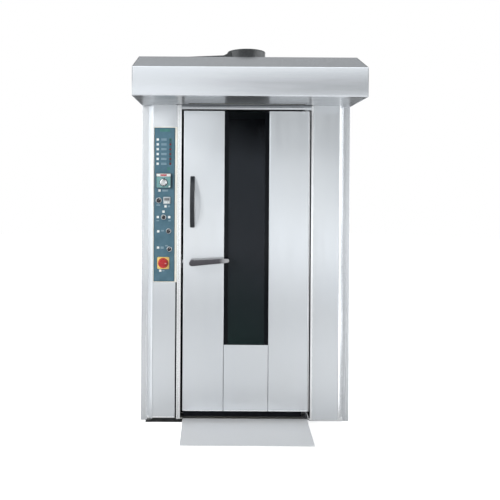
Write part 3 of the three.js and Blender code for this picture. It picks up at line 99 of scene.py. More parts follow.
# ---------------- node graphs
class Graph:
    """Adds shader nodes to a tree, with values or other nodes' outputs on their inputs."""

    def __init__(self, tree):
        self.tree = tree
        tree.nodes.clear()

    def add(self, kind, inputs=None, **settings):
        node = self.tree.nodes.new("ShaderNode" + kind)
        for name, value in settings.items():
            setattr(node, name, value)
        for name, value in (inputs or {}).items():
            if isinstance(value, bpy.types.NodeSocket):
                self.tree.links.new(value, node.inputs[name])
            else:
                node.inputs[name].default_value = value
        return node

    def math(self, operation, first, second=0.0, third=0.0):
        inputs = {0: first, 1: second, 2: third}
        return self.add("Math", inputs, operation=operation).outputs[0]

    def plus(self, first, second):
        return self.math("ADD", first, second)

    def times(self, first, second):
        return self.math("MULTIPLY", first, second)

    def rest(self, share):
        """What a share leaves of 1."""
        return self.math("SUBTRACT", 1, share)

    def spread(self, value, low, high, to_low, to_high, kind="SMOOTHSTEP"):
        inputs = {"Value": value, "From Min": low, "From Max": high, "To Min": to_low, "To Max": to_high}
        return self.add("MapRange", inputs, interpolation_type=kind).outputs[0]

    def slope(self, *stops):
        return self.spread(*stops, kind="LINEAR")

    def ramp(self, value, *stops):
        """A colour ramp through (place, colour) stops."""
        node = self.add("ValToRGB", {"Fac": value})
        elements = node.color_ramp.elements
        for place, _ in stops[2:]:
            elements.new(place)
        for element, (place, colour) in zip(elements, stops):
            element.position = place
            element.color = (*colour, 1)
        return node.outputs["Color"]

    def levels(self, value, low, high, stops):
        """A level through (place, level) stops. A ramp holds 0 to 1, so it gets half of each level."""
        share = self.slope(value, low, high, 0, 1)
        halves = [((place - low) / (high - low), [level / 2] * 3) for place, level in stops]
        return self.times(self.ramp(share, *halves), 2)

    def noise(self, scale, detail, rough=0.5, stretch=(1, 1, 1)):
        """Noise in the surface's own coordinates, stretched by a factor on each axis."""
        coords = self.add("TexCoord").outputs["Object"]
        place = self.add("Mapping", {"Vector": coords, "Scale": stretch}).outputs["Vector"]
        inputs = {"Vector": place, "Scale": scale, "Detail": detail, "Roughness": rough}
        return self.add("TexNoise", inputs).outputs["Fac"]

    def axes(self, coords="Object"):
        parts = self.add("SeparateXYZ", {"Vector": self.add("TexCoord").outputs[coords]})
        return [parts.outputs[name] for name in "XYZ"]

    def bump(self, height, strength, distance):
        inputs = {"Height": height, "Strength": strength, "Distance": distance}
        return self.add("Bump", inputs).outputs["Normal"]

    def surface(self, **sockets):
        """The Principled shader, wired to the output."""
        names = {"color": "Base Color", "metal": "Metallic", "rough": "Roughness", "normal": "Normal",
                 "coat": "Coat Weight", "coat_rough": "Coat Roughness", "specular": "Specular IOR Level"}
        shader = self.add("BsdfPrincipled", {names[key]: value for key, value in sockets.items()})
        self.add("OutputMaterial", {"Surface": shader.outputs[0]})
        return shader

    def backdrop(self, output, plain, mirrored, seen):
        """One shader for soft light, one for what metal and glass show, and one for the camera."""
        path = self.add("LightPath")
        shiny = self.math("MAXIMUM", path.outputs["Is Glossy Ray"], path.outputs["Is Transmission Ray"])
        lit = self.add("MixShader", {"Fac": shiny, 1: plain.outputs[0], 2: mirrored.outputs[0]})
        shown = self.add("MixShader", {"Fac": path.outputs["Is Camera Ray"], 1: lit.outputs[0], 2: seen.outputs[0]})
        self.add(output, {"Surface": shown.outputs[0]})


def material(name):
    made = bpy.data.materials.new(name)
    made.use_nodes = True
    return made, Graph(made.node_tree)


# ---------------- materials
GRIT = 600  # texture of plastic and paint, per metre
GRAIN = 900  # across the grain, per metre
GRAIN_ALONG = 5
BAND = 26  # broad strokes of the polishing belt, per metre across
BAND_ALONG = 0.7


def brushed(name, cool, warm, low_rough, high_rough, grain_axis=Z, metal=0.5, depth=0.05):
    """Stainless steel with a fine grain along one axis, cloudy in tint and polish."""
    made, g = material(name)
    fine = [GRAIN] * 3
    fine[grain_axis] = GRAIN_ALONG
    broad = [BAND] * 3
    broad[grain_axis] = BAND_ALONG
    cloud = g.noise(1.6, 3, 0.45)
    strokes = g.noise(1, 3, 0.6, stretch=broad)
    grain = g.noise(1, 2, 0.6, stretch=fine)
    tint = g.plus(g.times(cloud, 0.75), g.times(strokes, 0.25))
    color = g.ramp(tint, (0.3, cool), (0.7, warm))
    polish = g.plus(g.times(strokes, 0.6), g.times(grain, 0.4))
    rough = g.spread(polish, 0.35, 0.65, low_rough, high_rough)
    g.surface(color=color, metal=metal, rough=rough, normal=g.bump(grain, depth, 0.00004))
    return made


def smeared_steel():
    """Polished sheet with its grain along X, which smears what it mirrors across the grain."""
    made, g = material("soffit steel")
    grain = g.noise(1, 2, stretch=(6, 700, 700))
    cloud = g.noise(3, 3)
    tangent = g.add("Tangent", direction_type="RADIAL", axis="X").outputs[0]
    shader = g.surface(color=g.ramp(cloud, (0.3, (0.47, 0.485, 0.5)), (0.7, (0.53, 0.545, 0.56))), metal=1.0,
                       rough=g.spread(grain, 0.3, 0.7, 0.26, 0.33), normal=g.bump(grain, 0.1, 0.00004))
    shader.inputs["Anisotropic"].default_value = 0.9
    made.node_tree.links.new(tangent, shader.inputs["Tangent"])
    return made


def plastic(name, dark, light, rough, scale=40, depth=0.15, coat=0.0, shine=0.5):
    """A moulded or painted surface, faintly mottled, with a fine texture."""
    made, g = material(name)
    color = g.ramp(g.noise(scale, 3), (0.3, dark), (0.7, light))
    fine = g.noise(GRIT, 2)
    g.surface(color=color, rough=g.spread(fine, 0.3, 0.7, rough * 0.9, rough * 1.1),
              normal=g.bump(fine, depth, 0.00015), coat=coat, coat_rough=0.1, specular=shine)
    return made


def smooth_metal(name, dark, light, rough, scale=30):
    made, g = material(name)
    cloud = g.noise(scale, 3)
    g.surface(color=g.ramp(cloud, (0.3, dark), (0.7, light)), metal=1.0,
              rough=g.spread(cloud, 0.3, 0.7, rough * 0.8, rough * 1.2))
    return made


def heated_liner():
    """Mill-finish chamber sheet, straw-tinted in clouds by the heat."""
    made, g = material("heated liner")
    cloud = g.noise(2.4, 4, stretch=(1, 1, 0.6))
    streak = g.noise(1, 2, stretch=(60, 60, 2))
    g.surface(color=g.ramp(cloud, (0.3, (0.4, 0.38, 0.34)), (0.72, (0.58, 0.59, 0.59))), metal=0.85,
              rough=g.spread(streak, 0.3, 0.7, 0.32, 0.5), normal=g.bump(streak, 0.2, 0.0001))
    return made


def wool():
    made, g = material("mineral wool")
    fibres = g.noise(1, 5, 0.7, stretch=(160, 160, 40))
    g.surface(color=g.ramp(fibres, (0.3, (0.38, 0.33, 0.18)), (0.7, (0.66, 0.6, 0.38))), rough=0.95,
              normal=g.bump(fibres, 0.9, 0.002))
    return made


GLASS_FRIT = 28 * MM  # black border at each side of the window
FRIT_SOFT = 2.5 * MM
FRIT_BLACK = (0.004, 0.005, 0.007)
WINDOW_WIDTH = 288 * MM


def window_glass(name, clear, tint_low, tint_high, border=True):
    """Tinted pane: a black printed border, and a clearer middle that shows the dark chamber."""
    made, g = material(name)
    xs, _, (low_z, high_z) = spans("door_glass_outer")
    left, right = grown(xs, (WINDOW_WIDTH - (xs[1] - xs[0])) / 2 - GLASS_FRIT)
    x, _, z = g.axes()
    inside = g.times(g.spread(x, left - FRIT_SOFT, left + FRIT_SOFT, 0, 1),
                     g.spread(x, right - FRIT_SOFT, right + FRIT_SOFT, 1, 0))
    height = g.slope(z, low_z, high_z, 0, 1)
    streak = g.noise(1, 3, stretch=(5, 5, 0.8))
    wavy = g.plus(height, g.times(g.math("SUBTRACT", streak, 0.5), 0.22))
    body = g.ramp(wavy, (0, tint_low), (0.42, tint_high), (0.8, tint_high), (0.95, FRIT_BLACK))
    color = g.add("Mix", {"Factor": inside, "A": (*FRIT_BLACK, 1), "B": body}, data_type="RGBA")
    middle = next(s for s in color.outputs if s.type == "RGBA")
    shader = g.add("BsdfPrincipled", {"Base Color": middle, "Roughness": 0.04, "IOR": 1.2})
    see_through = g.add("BsdfTransparent", {"Color": (0.55, 0.62, 0.6, 1)})
    share = g.times(inside, clear) if border else clear
    mixed = g.add("MixShader", {"Fac": share, 1: shader.outputs[0], 2: see_through.outputs[0]})
    g.add("OutputMaterial", {"Surface": mixed.outputs[0]})
    return made


steel = brushed("stainless", (0.735, 0.77, 0.81), (0.765, 0.79, 0.815), 0.17, 0.23)
# A darker copy of the stainless: the lintel darkened as painted shade under the hood, and the thin seam line on the
# left cheek.
lintel_shade_and_seam_steel = brushed("lintel stainless", (0.52, 0.54, 0.56), (0.58, 0.6, 0.62), 0.14, 0.2, grain_axis=X,
                       metal=0.9)
# A whiter copy of the stainless: painted light and highlights on the right bevel, the cheeks, the plinths, the hems
# and the bright edges.
highlight_steel = brushed("stainless with painted highlights", (0.95, 0.96, 0.97), (0.965, 0.97, 0.975), 0.18, 0.25, metal=0.75)
side_steel = brushed("side stainless", (0.7, 0.72, 0.75), (0.73, 0.75, 0.77), 0.22, 0.3)
hood_steel = brushed("hood stainless", (0.74, 0.765, 0.8), (0.77, 0.79, 0.82), 0.16, 0.22, grain_axis=X,
                     metal=0.75)
ramp_steel = brushed("ramp stainless", (0.77, 0.78, 0.8), (0.81, 0.82, 0.83), 0.42, 0.52, grain_axis=X,
                     metal=0.3)
machine_steel = smooth_metal("machined steel", (0.34, 0.35, 0.36), (0.52, 0.53, 0.54), 0.32)
mirror_steel = smeared_steel()
liner = heated_liner()
insulation = wool()
black_paint = plastic("black paint", (0.012, 0.013, 0.015), (0.03, 0.032, 0.036), 0.5, coat=0.2)
flue_black = plastic("flue paint", (0.006, 0.007, 0.008), (0.022, 0.024, 0.026), 0.36, scale=60, coat=0.1)
rubber = plastic("seal rubber", (0.003, 0.003, 0.005), (0.007, 0.008, 0.011), 0.85, depth=0.3,
                 shine=0.15)
# Black for the painted shade in the gaps round and under the door and in the column's joint, and for the mastic of
# the door's seams; a grey copy paints the shade of the right gap, where more light falls.
shade_and_mastic_black = plastic("painted gap shade and seam mastic", (0.002, 0.002, 0.003), (0.006, 0.006, 0.007), 0.9, shine=0.1)
lit_gap_shade = plastic("painted gap shade, lit side", (0.15, 0.155, 0.165), (0.2, 0.205, 0.215), 0.7)
# Dark grey for the painted shade and shadow under the left column.
kick_shade_grey = plastic("painted shade under the column", (0.02, 0.021, 0.022), (0.04, 0.041, 0.042), 0.8, shine=0.2)
heater_metal = smooth_metal("oxidised heater", (0.1, 0.09, 0.09), (0.24, 0.2, 0.18), 0.5)
motor_paint = plastic("motor paint", (0.04, 0.1, 0.19), (0.07, 0.15, 0.26), 0.4, depth=0.5, coat=0.2)
grip_plastic = plastic("grip plastic", (0.006, 0.008, 0.011), (0.015, 0.018, 0.023), 0.34, coat=0.1)
lever_paint = smooth_metal("lever metal", (0.09, 0.085, 0.092), (0.16, 0.15, 0.16), 0.36)
teal_plastic = plastic("teal overlay", (0.066, 0.148, 0.2), (0.09, 0.186, 0.248), 0.42, scale=25)
teal_dark = plastic("overlay border", (0.012, 0.03, 0.035), (0.02, 0.045, 0.05), 0.42)
cream = plastic("cream trim", (0.9, 0.885, 0.8), (0.94, 0.93, 0.86), 0.4)
white_print = plastic("white print", (0.8, 0.84, 0.84), (0.9, 0.92, 0.92), 0.45)
legend_print = plastic("legend print", (0.24, 0.35, 0.42), (0.32, 0.44, 0.52), 0.45)
green_print = plastic("green print", (0.055, 0.18, 0.165), (0.07, 0.22, 0.2), 0.45)
lamp_red = plastic("red lamp", (0.13, 0.012, 0.02), (0.22, 0.02, 0.035), 0.18, coat=0.6)
lamp_green = plastic("green lamp", (0.02, 0.14, 0.11), (0.04, 0.2, 0.15), 0.18, coat=0.6)
lamp_seat = plastic("lamp seat", (0.03, 0.07, 0.09), (0.05, 0.1, 0.12), 0.4)
screen_grey = plastic("screen", (0.16, 0.17, 0.18), (0.22, 0.23, 0.24), 0.25)
lamp_ring = plastic("lamp surround", (0.45, 0.5, 0.53), (0.55, 0.6, 0.62), 0.4)
timer_face = plastic("timer face", (0.15, 0.32, 0.33), (0.2, 0.4, 0.41), 0.35)
timer_shell = plastic("timer shell", (0.012, 0.014, 0.016), (0.03, 0.033, 0.036), 0.35)
red_print = plastic("red print", (0.42, 0.03, 0.05), (0.5, 0.05, 0.07), 0.45)
knob_silver = smooth_metal("knob silver", (0.55, 0.56, 0.56), (0.74, 0.75, 0.75), 0.28, scale=60)
knob_dark = plastic("knob dark", (0.018, 0.018, 0.022), (0.045, 0.042, 0.05), 0.35)
yellow_plastic = plastic("yellow plastic", (0.83, 0.56, 0.13), (0.9, 0.66, 0.2), 0.4)
red_plastic = plastic("red plastic", (0.42, 0.015, 0.02), (0.58, 0.03, 0.035), 0.34, coat=0.3)
pane_outer = window_glass("outer pane", 0.4, (0.018, 0.036, 0.036), (0.04, 0.046, 0.056))
pane_inner = window_glass("inner pane", 0.35, (0.02, 0.032, 0.03), (0.03, 0.034, 0.04), border=False)


# ---------------- mesh helpers
def in_scene(name, data):
    made = bpy.data.objects.new(name, data)
    bpy.context.scene.collection.objects.link(made)
    return made


def shade(mesh):
    """Smooth across soft bends, sharp across the others."""
    for face in mesh.polygons:
        face.use_smooth = True
    mesh.set_sharp_from_angle(angle=SMOOTH_ANGLE)


def new_object(name, verts, faces, looks):
    """A mesh object whose faces point outwards."""
    mesh = bpy.data.meshes.new(name)
    mesh.from_pydata([tuple(v) for v in verts], [], faces)
    mesh.materials.append(looks)
    shape = bmesh.new()
    shape.from_mesh(mesh)
    bmesh.ops.remove_doubles(shape, verts=shape.verts, dist=SAME_PLACE)
    bmesh.ops.recalc_face_normals(shape, faces=shape.faces)
    shape.to_mesh(mesh)
    shape.free()
    shade(mesh)
    return in_scene(name, mesh)


def merged(name, pieces):
    """Several objects as one, each keeping its own materials."""
    bpy.ops.object.select_all(action="DESELECT")
    for one in pieces:
        one.select_set(True)
    bpy.context.view_layer.objects.active = pieces[0]
    if len(pieces) > 1:
        bpy.ops.object.join()
    pieces[0].name = name
    pieces[0].data.name = name
    return pieces[0]


def put(piece, body, slot, *nodes):
    """The piece moves with a body and may stand for CAD nodes. The slot is not used."""
    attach(piece, body)
    if nodes:
        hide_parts(*nodes)


def put_still(piece, slot="stainless", *nodes):
    put(piece, "casing", slot, *nodes)


def soften(piece, width, steps=2):
    """Rounds the sharp edges of a piece."""
    bevel = piece.modifiers.new("edges", "BEVEL")
    bevel.width = width
    bevel.segments = steps
    bevel.limit_method = "ANGLE"
    bevel.angle_limit = SOFTEN_ANGLE
    bake(piece)
    return piece


def bake(piece):
    """Applies the modifiers of a piece to its mesh."""
    graph = bpy.context.evaluated_depsgraph_get()
    baked = bpy.data.meshes.new_from_object(piece.evaluated_get(graph))
    piece.modifiers.clear()
    piece.data = baked
    shade(baked)


def carve(piece, *tools):
    """Cuts other objects out of a piece and deletes them."""
    for tool in tools:
        cut = piece.modifiers.new("cut", "BOOLEAN")
        cut.object = tool
        cut.operation = "DIFFERENCE"
        cut.solver = "EXACT"
    bake(piece)
    for tool in tools:
        bpy.data.objects.remove(tool)
    return piece


def rounded(line, radius):
    """A line whose bends are arcs."""
    points = [Vector(p) for p in line]
    out = [points[0]]
    for before, here, after in zip(points, points[1:], points[2:]):
        back = (before - here).normalized()
        on = (after - here).normalized()
        turn = math.pi - back.angle(on)
        reach = min(radius * math.tan(turn / 2), (before - here).length / 2, (after - here).length / 2)
        arm = reach / math.tan(turn / 2)
        centre = here + (back + on).normalized() * arm / math.cos(turn / 2)
        start = here + back * reach - centre
        side = 1 if back.y * on.x - back.x * on.y > 0 else -1
        for i in range(FOLD_STEPS + 1):
            out.append(centre + Matrix.Rotation(side * turn * i / FOLD_STEPS, 2) @ start)
    out.append(points[-1])
    return out


def sheet(line, thickness=SHEET):
    """The closed section of a folded sheet: the line is its outer face, the metal lies on the left."""
    inner = []
    for i, here in enumerate(line):
        sides = []
        for a, b in ((max(i - 1, 0), max(i, 1)), (min(i, len(line) - 2), min(i + 1, len(line) - 1))):
            along = (line[b] - line[a]).normalized()
            sides.append(Vector((-along.y, along.x)))
        inner.append(here + (sides[0] + sides[1]) * (thickness / (1 + sides[0].dot(sides[1]))))
    return list(line) + inner[::-1]


def ring_faces(rings, count):
    """The faces between rings of points that are numbered ring after ring."""
    faces = []
    for low in range(0, (rings - 1) * count, count):
        for i in range(count):
            j = (i + 1) % count
            faces.append((low + i, low + j, low + count + j, low + count + i))
    return faces


def prism(name, outline, axis, low, high, looks):
    """An outline drawn out along x, y or z."""
    order = {X: lambda a, b, t: (t, a, b), Y: lambda a, b, t: (a, t, b), Z: lambda a, b, t: (a, b, t)}[axis]
    count = len(outline)
    verts = [order(a, b, t) for t in (low, high) for a, b in outline]
    ends = [tuple(range(count)), tuple(range(2 * count - 1, count - 1, -1))]
    return new_object(name, verts, ends + ring_faces(2, count), looks)


def block(name, xs, ys, zs, looks):
    corners = [(xs[0], ys[0]), (xs[1], ys[0]), (xs[1], ys[1]), (xs[0], ys[1])]
    return prism(name, corners, Z, *zs, looks)


def arc(centre, radius, start, turn, steps):
    """Points on an arc, from an angle on through a turn."""
    angles = [start + turn * i / steps for i in range(steps + 1)]
    return [(centre[0] + radius * math.cos(angle), centre[1] + radius * math.sin(angle)) for angle in angles]


def circle(radius, steps):
    return arc((0, 0), radius, 0, 2 * math.pi, steps)[:-1]


def round_rect(xs, zs, radius):
    """The outline of a rectangle with round corners."""
    (x0, x1), (z0, z1) = grown(xs, -radius), grown(zs, -radius)
    out = []
    for corner, centre in enumerate(((x1, z1), (x0, z1), (x0, z0), (x1, z0))):
        out += arc(centre, radius, corner * math.pi / 2, math.pi / 2, CORNER_STEPS)
    return out


def quarter(steps=CROWN_STEPS):
    """Shares across and back of the points on a quarter circle."""
    angles = [math.pi / 2 * i / steps for i in range(steps + 1)]
    return [(1 - math.cos(angle), 1 - math.sin(angle)) for angle in angles]


def plaque(name, xs, zs, ys, radius, looks, edge=0.0):
    """A flat plate that faces the front, with round corners."""
    made = prism(name, round_rect(xs, zs, radius), Y, *ys, looks)
    return soften(made, edge) if edge else made


def ring_plate(name, outer, inner, ys, looks):
    """A flat frame between two outlines with as many points each."""
    front, back = ys
    rings = ((outer, front), (inner, front), (inner, back), (outer, back), (outer, front))
    verts = [(a, y, b) for outline, y in rings for a, b in outline]
    return new_object(name, verts, ring_faces(len(rings), len(outer)), looks)


def lathe(name, profile, looks, steps=ROUND_STEPS):
    """A (radius, height) profile turned about +Z. Its ends lie on the axis, or else it is closed."""
    if profile[0][0] > 0:
        profile = [*profile, profile[0]]
    verts = [(x, y, height) for radius, height in profile for x, y in circle(radius, steps)]
    return new_object(name, verts, ring_faces(len(profile), steps), looks)


def turned(name, profile, looks, steps=ROUND_STEPS):
    """A lathe piece with its profile in millimetres."""
    return lathe(name, [mm(*point) for point in profile], looks, steps)


def moved(piece, place=(0, 0, 0), turn=None):
    """Moves and turns the piece's mesh, so that the object stays at the origin."""
    matrix = Matrix.Translation(place) @ (turn or Matrix())
    piece.data.transform(matrix)
    return piece


FACE_FRONT = Matrix.Rotation(math.pi / 2, 4, "X")  # +Z of a lathe turns to -Y


# ---------------- hood and flue
FASCIA = 167 * MM
SLOPE_RUN = 300 * MM
FLUE_RADIUS = 125 * MM
FLUE_WALL = 3 * MM
FLUE_RIM = 4 * MM
DUCT_HALF = 75 * MM


def make_hood():
    (x0, x1), (y0, y1), (z0, z1) = spans("hood_shell")
    crease, slope_back = z0 + FASCIA, y0 + SLOPE_RUN
    over_body = span("side_panel_left", Z)[1] + CLEARANCE
    body_front = span("hood_soffit", Y)[1]
    lip, inset, reach = mm(15, 0.2, 20)
    front = [(y1, over_body), (y1, z1), (slope_back, z1), (y0, crease), (y0, z0)]
    skin = sheet(rounded([*front, (y0 + lip, z0)], FOLD))
    shell = prism("hood", skin, X, x0 + inset, x1 - inset, hood_steel)
    edge = rounded([*front, (body_front, z0), (body_front, over_body), (y1, over_body)], FOLD)
    start = y0 + 4 * MM
    rim = [(start, crease + 1.75 * MM), (slope_back, z1), (slope_back, z1 - 2.75 * MM), (start, crease - 1.75 * MM)]
    ends, seams = [], []
    for x, side in ((x0, 1), (x1, -1)):
        ends.append(prism("end", edge, X, x, x + side * SHEET, hood_steel))
        xs = sorted((x + side * 0.6 * MM, x + side * 3.6 * MM))
        seams.append(prism("seam", rim, X, *xs, flue_black))
    put_still(merged("hood_seams", seams), "black_paint")
    radius = FLUE_RADIUS + MM
    hole = lathe("hole", [(0, z1 - reach), (radius, z1 - reach), (radius, z1 + reach), (0, z1 + reach)], hood_steel)
    carve(shell, moved(hole, (0, sum(span("flue_pipe", Y)) / 2, 0)))
    put_still(merged("hood", [shell, *ends]), "stainless", "hood_shell")


def make_flue():
    """The collar with its rolled rim, and the low duct that joins it from the left."""
    (x_end, _), (y0, y1), (low, top) = spans("flue_pipe")
    y, flange = (y0 + y1) / 2, (y1 - y0) / 2
    seat = span("hood_shell", Z)[1] + CLEARANCE
    bore, neck = FLUE_RADIUS - FLUE_WALL, FLUE_RADIUS - MM
    profile = [(bore, low), (neck, low), (neck, seat), (flange, seat), (flange, seat + 2 * MM),
               (neck, seat + 2 * MM), (neck, top - 2 * FLUE_RIM)]
    for a, b in arc((-1, -1), 1, -math.pi / 2, math.pi, 8):
        profile.append((FLUE_RADIUS + FLUE_RIM / 2 * a, top + FLUE_RIM * b))
    profile.append((bore, top - 0.5 * MM))
    pipe = moved(lathe("flue", profile, flue_black), (0, y, 0))
    start, bend = -FLUE_RADIUS * 0.75, -FLUE_RADIUS * 0.9
    shoulder, duct_top = top - 8 * MM, seat + 46 * MM
    side = [(x_end, seat), (start, seat), (start, shoulder), (bend, shoulder - 4 * MM),
            (-FLUE_RADIUS - 12 * MM, duct_top + 2 * MM), (-FLUE_RADIUS - 26 * MM, duct_top - 4 * MM),
            (x_end, seat + 30 * MM)]
    duct = soften(prism("side duct", side, Y, y - DUCT_HALF, y + DUCT_HALF, flue_black), 3 * MM)
    put_still(merged("flue", [pipe, duct]), "black_paint", "flue_pipe")


# ---------------- casing
CHEEK_INNER = 416 * MM  # inner faces of the mouth's cheeks
CHEEK_OUTER = -441 * MM  # the left cheek's side towards the control column
SEAL_SIDE = 391 * MM
GAP_BACK = -482 * MM  # as deep as the gap round the door is seen
SHADE_SHEET = 0.8 * MM
SHADE_LOW = 40 * MM
FLOOR_GAP = 0.5 * MM
SILL_CORNER = (402, 80)  # millimetres, the corner of the sill that its edging rounds
SILL_BEND = (24, 42)  # the run of the rounding, across and down


def from_outside(node, side):
    """The outer and inner x of a node at one side of the oven, and its spans along y and z."""
    (x0, x1), ys, zs = spans(node)
    return ((x0, x1) if side == "left" else (x1, x0)), ys, zs


def folded_piece(name, line, zs, looks, node):
    """A folded sheet of the casing, in the place of a node."""
    put_still(prism(name, sheet(rounded(line, EDGE_FOLD)), Z, *zs, looks), "stainless", node)


def make_casing():
    top = span("hood_soffit", Z)[0] - CLEARANCE
    for side, node, lift in (("left", "control_column_cover", 6 * MM), ("right", "right_column_cover", 0)):
        (x0, x1), (y0, y1), (z0, _) = spans(node)
        line = [(x0, y1), (x0, y0), (x1, y0), (x1, y1)]
        folded_piece(f"column_{side}", line, (z0 + lift, top), steel, node)
    # The right bevel is whiter than the left: painted light.
    for side, run, looks in (("left", -1, steel), ("right", 1, highlight_steel)):
        node = f"bevel_post_{side}"
        (outer, inner), (y0, y1), (z0, _) = from_outside(node, side)
        line = [(outer, y1), (inner + run * 2 * MM, y0), (inner, y0)]
        folded_piece(f"bevel_{side}", line[::-run], (z0, top), looks, node)
        node = f"side_panel_{side}"
        (outer, inner), (y0, y1), zs = from_outside(node, side)
        line = [(outer, y1), (outer, y0), (inner, y0)]
        folded_piece(f"side_{side}", line[::-run], zs, side_steel, node)
    (x0, x1), (y0, y1), (z0, _) = spans("lintel_bar")
    line = rounded([(y1, top), (y1, z0), (y0, z0), (y0, top), (y1, top)], 14 * MM)
    lintel = prism("lintel", line, X, x0, x1, lintel_shade_and_seam_steel)
    (hinge_left, hinge_right), hinge_ys, (_, hinge_top) = spans("hinge_bracket_upper")
    past = 10 * MM
    pocket = block("pocket", (hinge_left - CLEARANCE, hinge_right + past), grown(hinge_ys, CLEARANCE),
                   (z0 - past, hinge_top + CLEARANCE), lintel_shade_and_seam_steel)
    put_still(carve(lintel, pocket), "stainless", "lintel_bar")


def make_gap_shade():
    """Dark strips round the door's gap: painted shade, partly grey on the right, where more light falls."""
    ys = (span("front_frame", Y)[0] + 2 * MM, GAP_BACK)
    door_low, lintel_low = span("door_pan", Z)[0], span("lintel_bar", Z)[0]
    strips = []
    for side, looks in ((-1, shade_and_mastic_black), (1, lit_gap_shade)):
        edge = side * (CHEEK_INNER - SHADE_SHEET)
        xs = sorted((side * CHEEK_INNER, edge))
        strips.append((xs, ys, (SHADE_LOW, door_low), shade_and_mastic_black))
        strips.append((xs, ys, (door_low, lintel_low), looks))
        xs = sorted((side * SEAL_SIDE, edge))
        strips.append((xs, (GAP_BACK - SHADE_SHEET, GAP_BACK), (SHADE_LOW, lintel_low), looks))
    strips.append(((-CHEEK_INNER, 360 * MM), (facade + 3 * MM, GAP_BACK), (lintel_low - SHADE_SHEET, lintel_low),
                   shade_and_mastic_black))
    put_still(merged("gap_shade", [block("gap_shade_strip", *strip) for strip in strips]), "seal_rubber")


def make_joints():
    """The recessed strips beside the columns; below the overlay the column's joint is black, painted shade in the
    recess.
    """
    (left_edge, column_right), _, (low, high) = spans("control_column_cover")
    right_edge = span("right_column_cover", X)[1]
    overlay_low = span("overlay_plate", Z)[0] - 5 * MM
    top = span("lintel_bar", Z)[0] + 30 * MM
    xs, ys, zs = (column_right + CLEARANCE, CHEEK_OUTER - CLEARANCE), beyond(facade, 3, 5), (low + MM, high)
    for name, *box, looks in (
            ("column_joint", xs, ys, (SHADE_LOW, overlay_low), shade_and_mastic_black),
            ("column_joint", xs, ys, (overlay_low, top), side_steel),
            ("bevel_joint_left", beyond(left_edge, -2.8, -0.2), beyond(facade, 0.05, 2), zs, side_steel),
            ("bevel_joint_right", beyond(right_edge, 0.2, 2.8), beyond(facade, 0.8, 2), zs, side_steel)):
        put_still(block(name, *box, looks))


def make_feet():
    """The kick strip under the left column and its toe, dark as painted shade and shadow; the plinths under the
    columns and the bright edges above them, bright as painted light and highlight.
    """
    low = span("control_column_cover", Z)[0]
    base = span("base_frame", Y)[0]
    zs = (FLOOR_GAP, low - CLEARANCE)
    kick = block("kick_shade_strip", mm(-606, -404), (base - 40 * MM, base - CLEARANCE), zs, kick_shade_grey)
    toe_shadow = block("toe_shadow", mm(-640, -606.5), beyond(base, -40, -17), (FLOOR_GAP, 8 * MM), kick_shade_grey)
    put_still(merged("kick_shade_strip", [soften(kick, 1.5 * MM), toe_shadow]), "black_paint")
    for name, xs in (("plinth_left", mm(-633.5, -612)), ("plinth_right", mm(418, 633.5))):
        plinth = block(name, xs, (base - 16 * MM, base - CLEARANCE), zs, highlight_steel)
        put_still(soften(plinth, 1.5 * MM))
    put_still(plaque("column_hem_highlight", mm(-593, -451), beyond(low, 6.5, 15), beyond(facade, -0.6, 0), 2 * MM,
                     highlight_steel, 0.3 * MM))
    seam = block("cheek_seam", mm(-432, -430.4), (facade - 0.15 * MM, facade - MARK_LIFT),
                 (SHADE_LOW, span("lintel_bar", Z)[0] - MM), lintel_shade_and_seam_steel)
    put_still(seam)


def make_sill():
    """The edging that curves down at the sill's right end, bright as a painted highlight, and the sill's front
    edge, black as painted shade under the door.
    """
    (right, top), (run, drop) = SILL_CORNER, SILL_BEND
    edging = [mm(right - run * b, top - drop * a) for a, b in quarter(8)]
    outline = edging + [(x + 3.5 * MM, z - MM) for x, z in reversed(edging)]
    put_still(prism("sill_edging_highlight", outline, Y, *beyond(facade, 0.5, 2.5), highlight_steel))
    _, (front, _), (_, top) = spans("chamber_floor")
    ys = (front - SHADE_SHEET - MM, front - 0.2 * MM)
    sill = block("sill_shade_trim", mm(-400, 400), ys, beyond(top, -6, 0), shade_and_mastic_black)
    put_still(soften(sill, 0.3 * MM), "seal_rubber")


def make_ramp():
    (x0, x1), (y0, y1), (_, z1) = spans("ramp")
    plate = 3 * MM
    top = [(y1, z1), (y0, plate + MM), (y0, 0)]
    deck = prism("ramp", sheet(rounded(top, 3 * MM), plate * 0.8), X, x0, x1, ramp_steel)
    cheek = [(y0 + 12 * MM, 0), (y1, 0), (y1, z1 - plate / 2)]
    cheeks = [prism("cheek", cheek, X, x, x + side * plate, ramp_steel) for x, side in ((x0, 1), (x1, -1))]
    put_still(merged("loading_ramp", [deck, *cheeks]), "stainless", "ramp")


# ---------------- door
def crowned(start, end):
    """Points from start towards end, the first stretch curving in from behind the face."""
    run = CROWN_WIDTH if end > start else -CROWN_WIDTH
    return [(start + run * a, facade + CROWN_DEPTH * b) for a, b in quarter()]


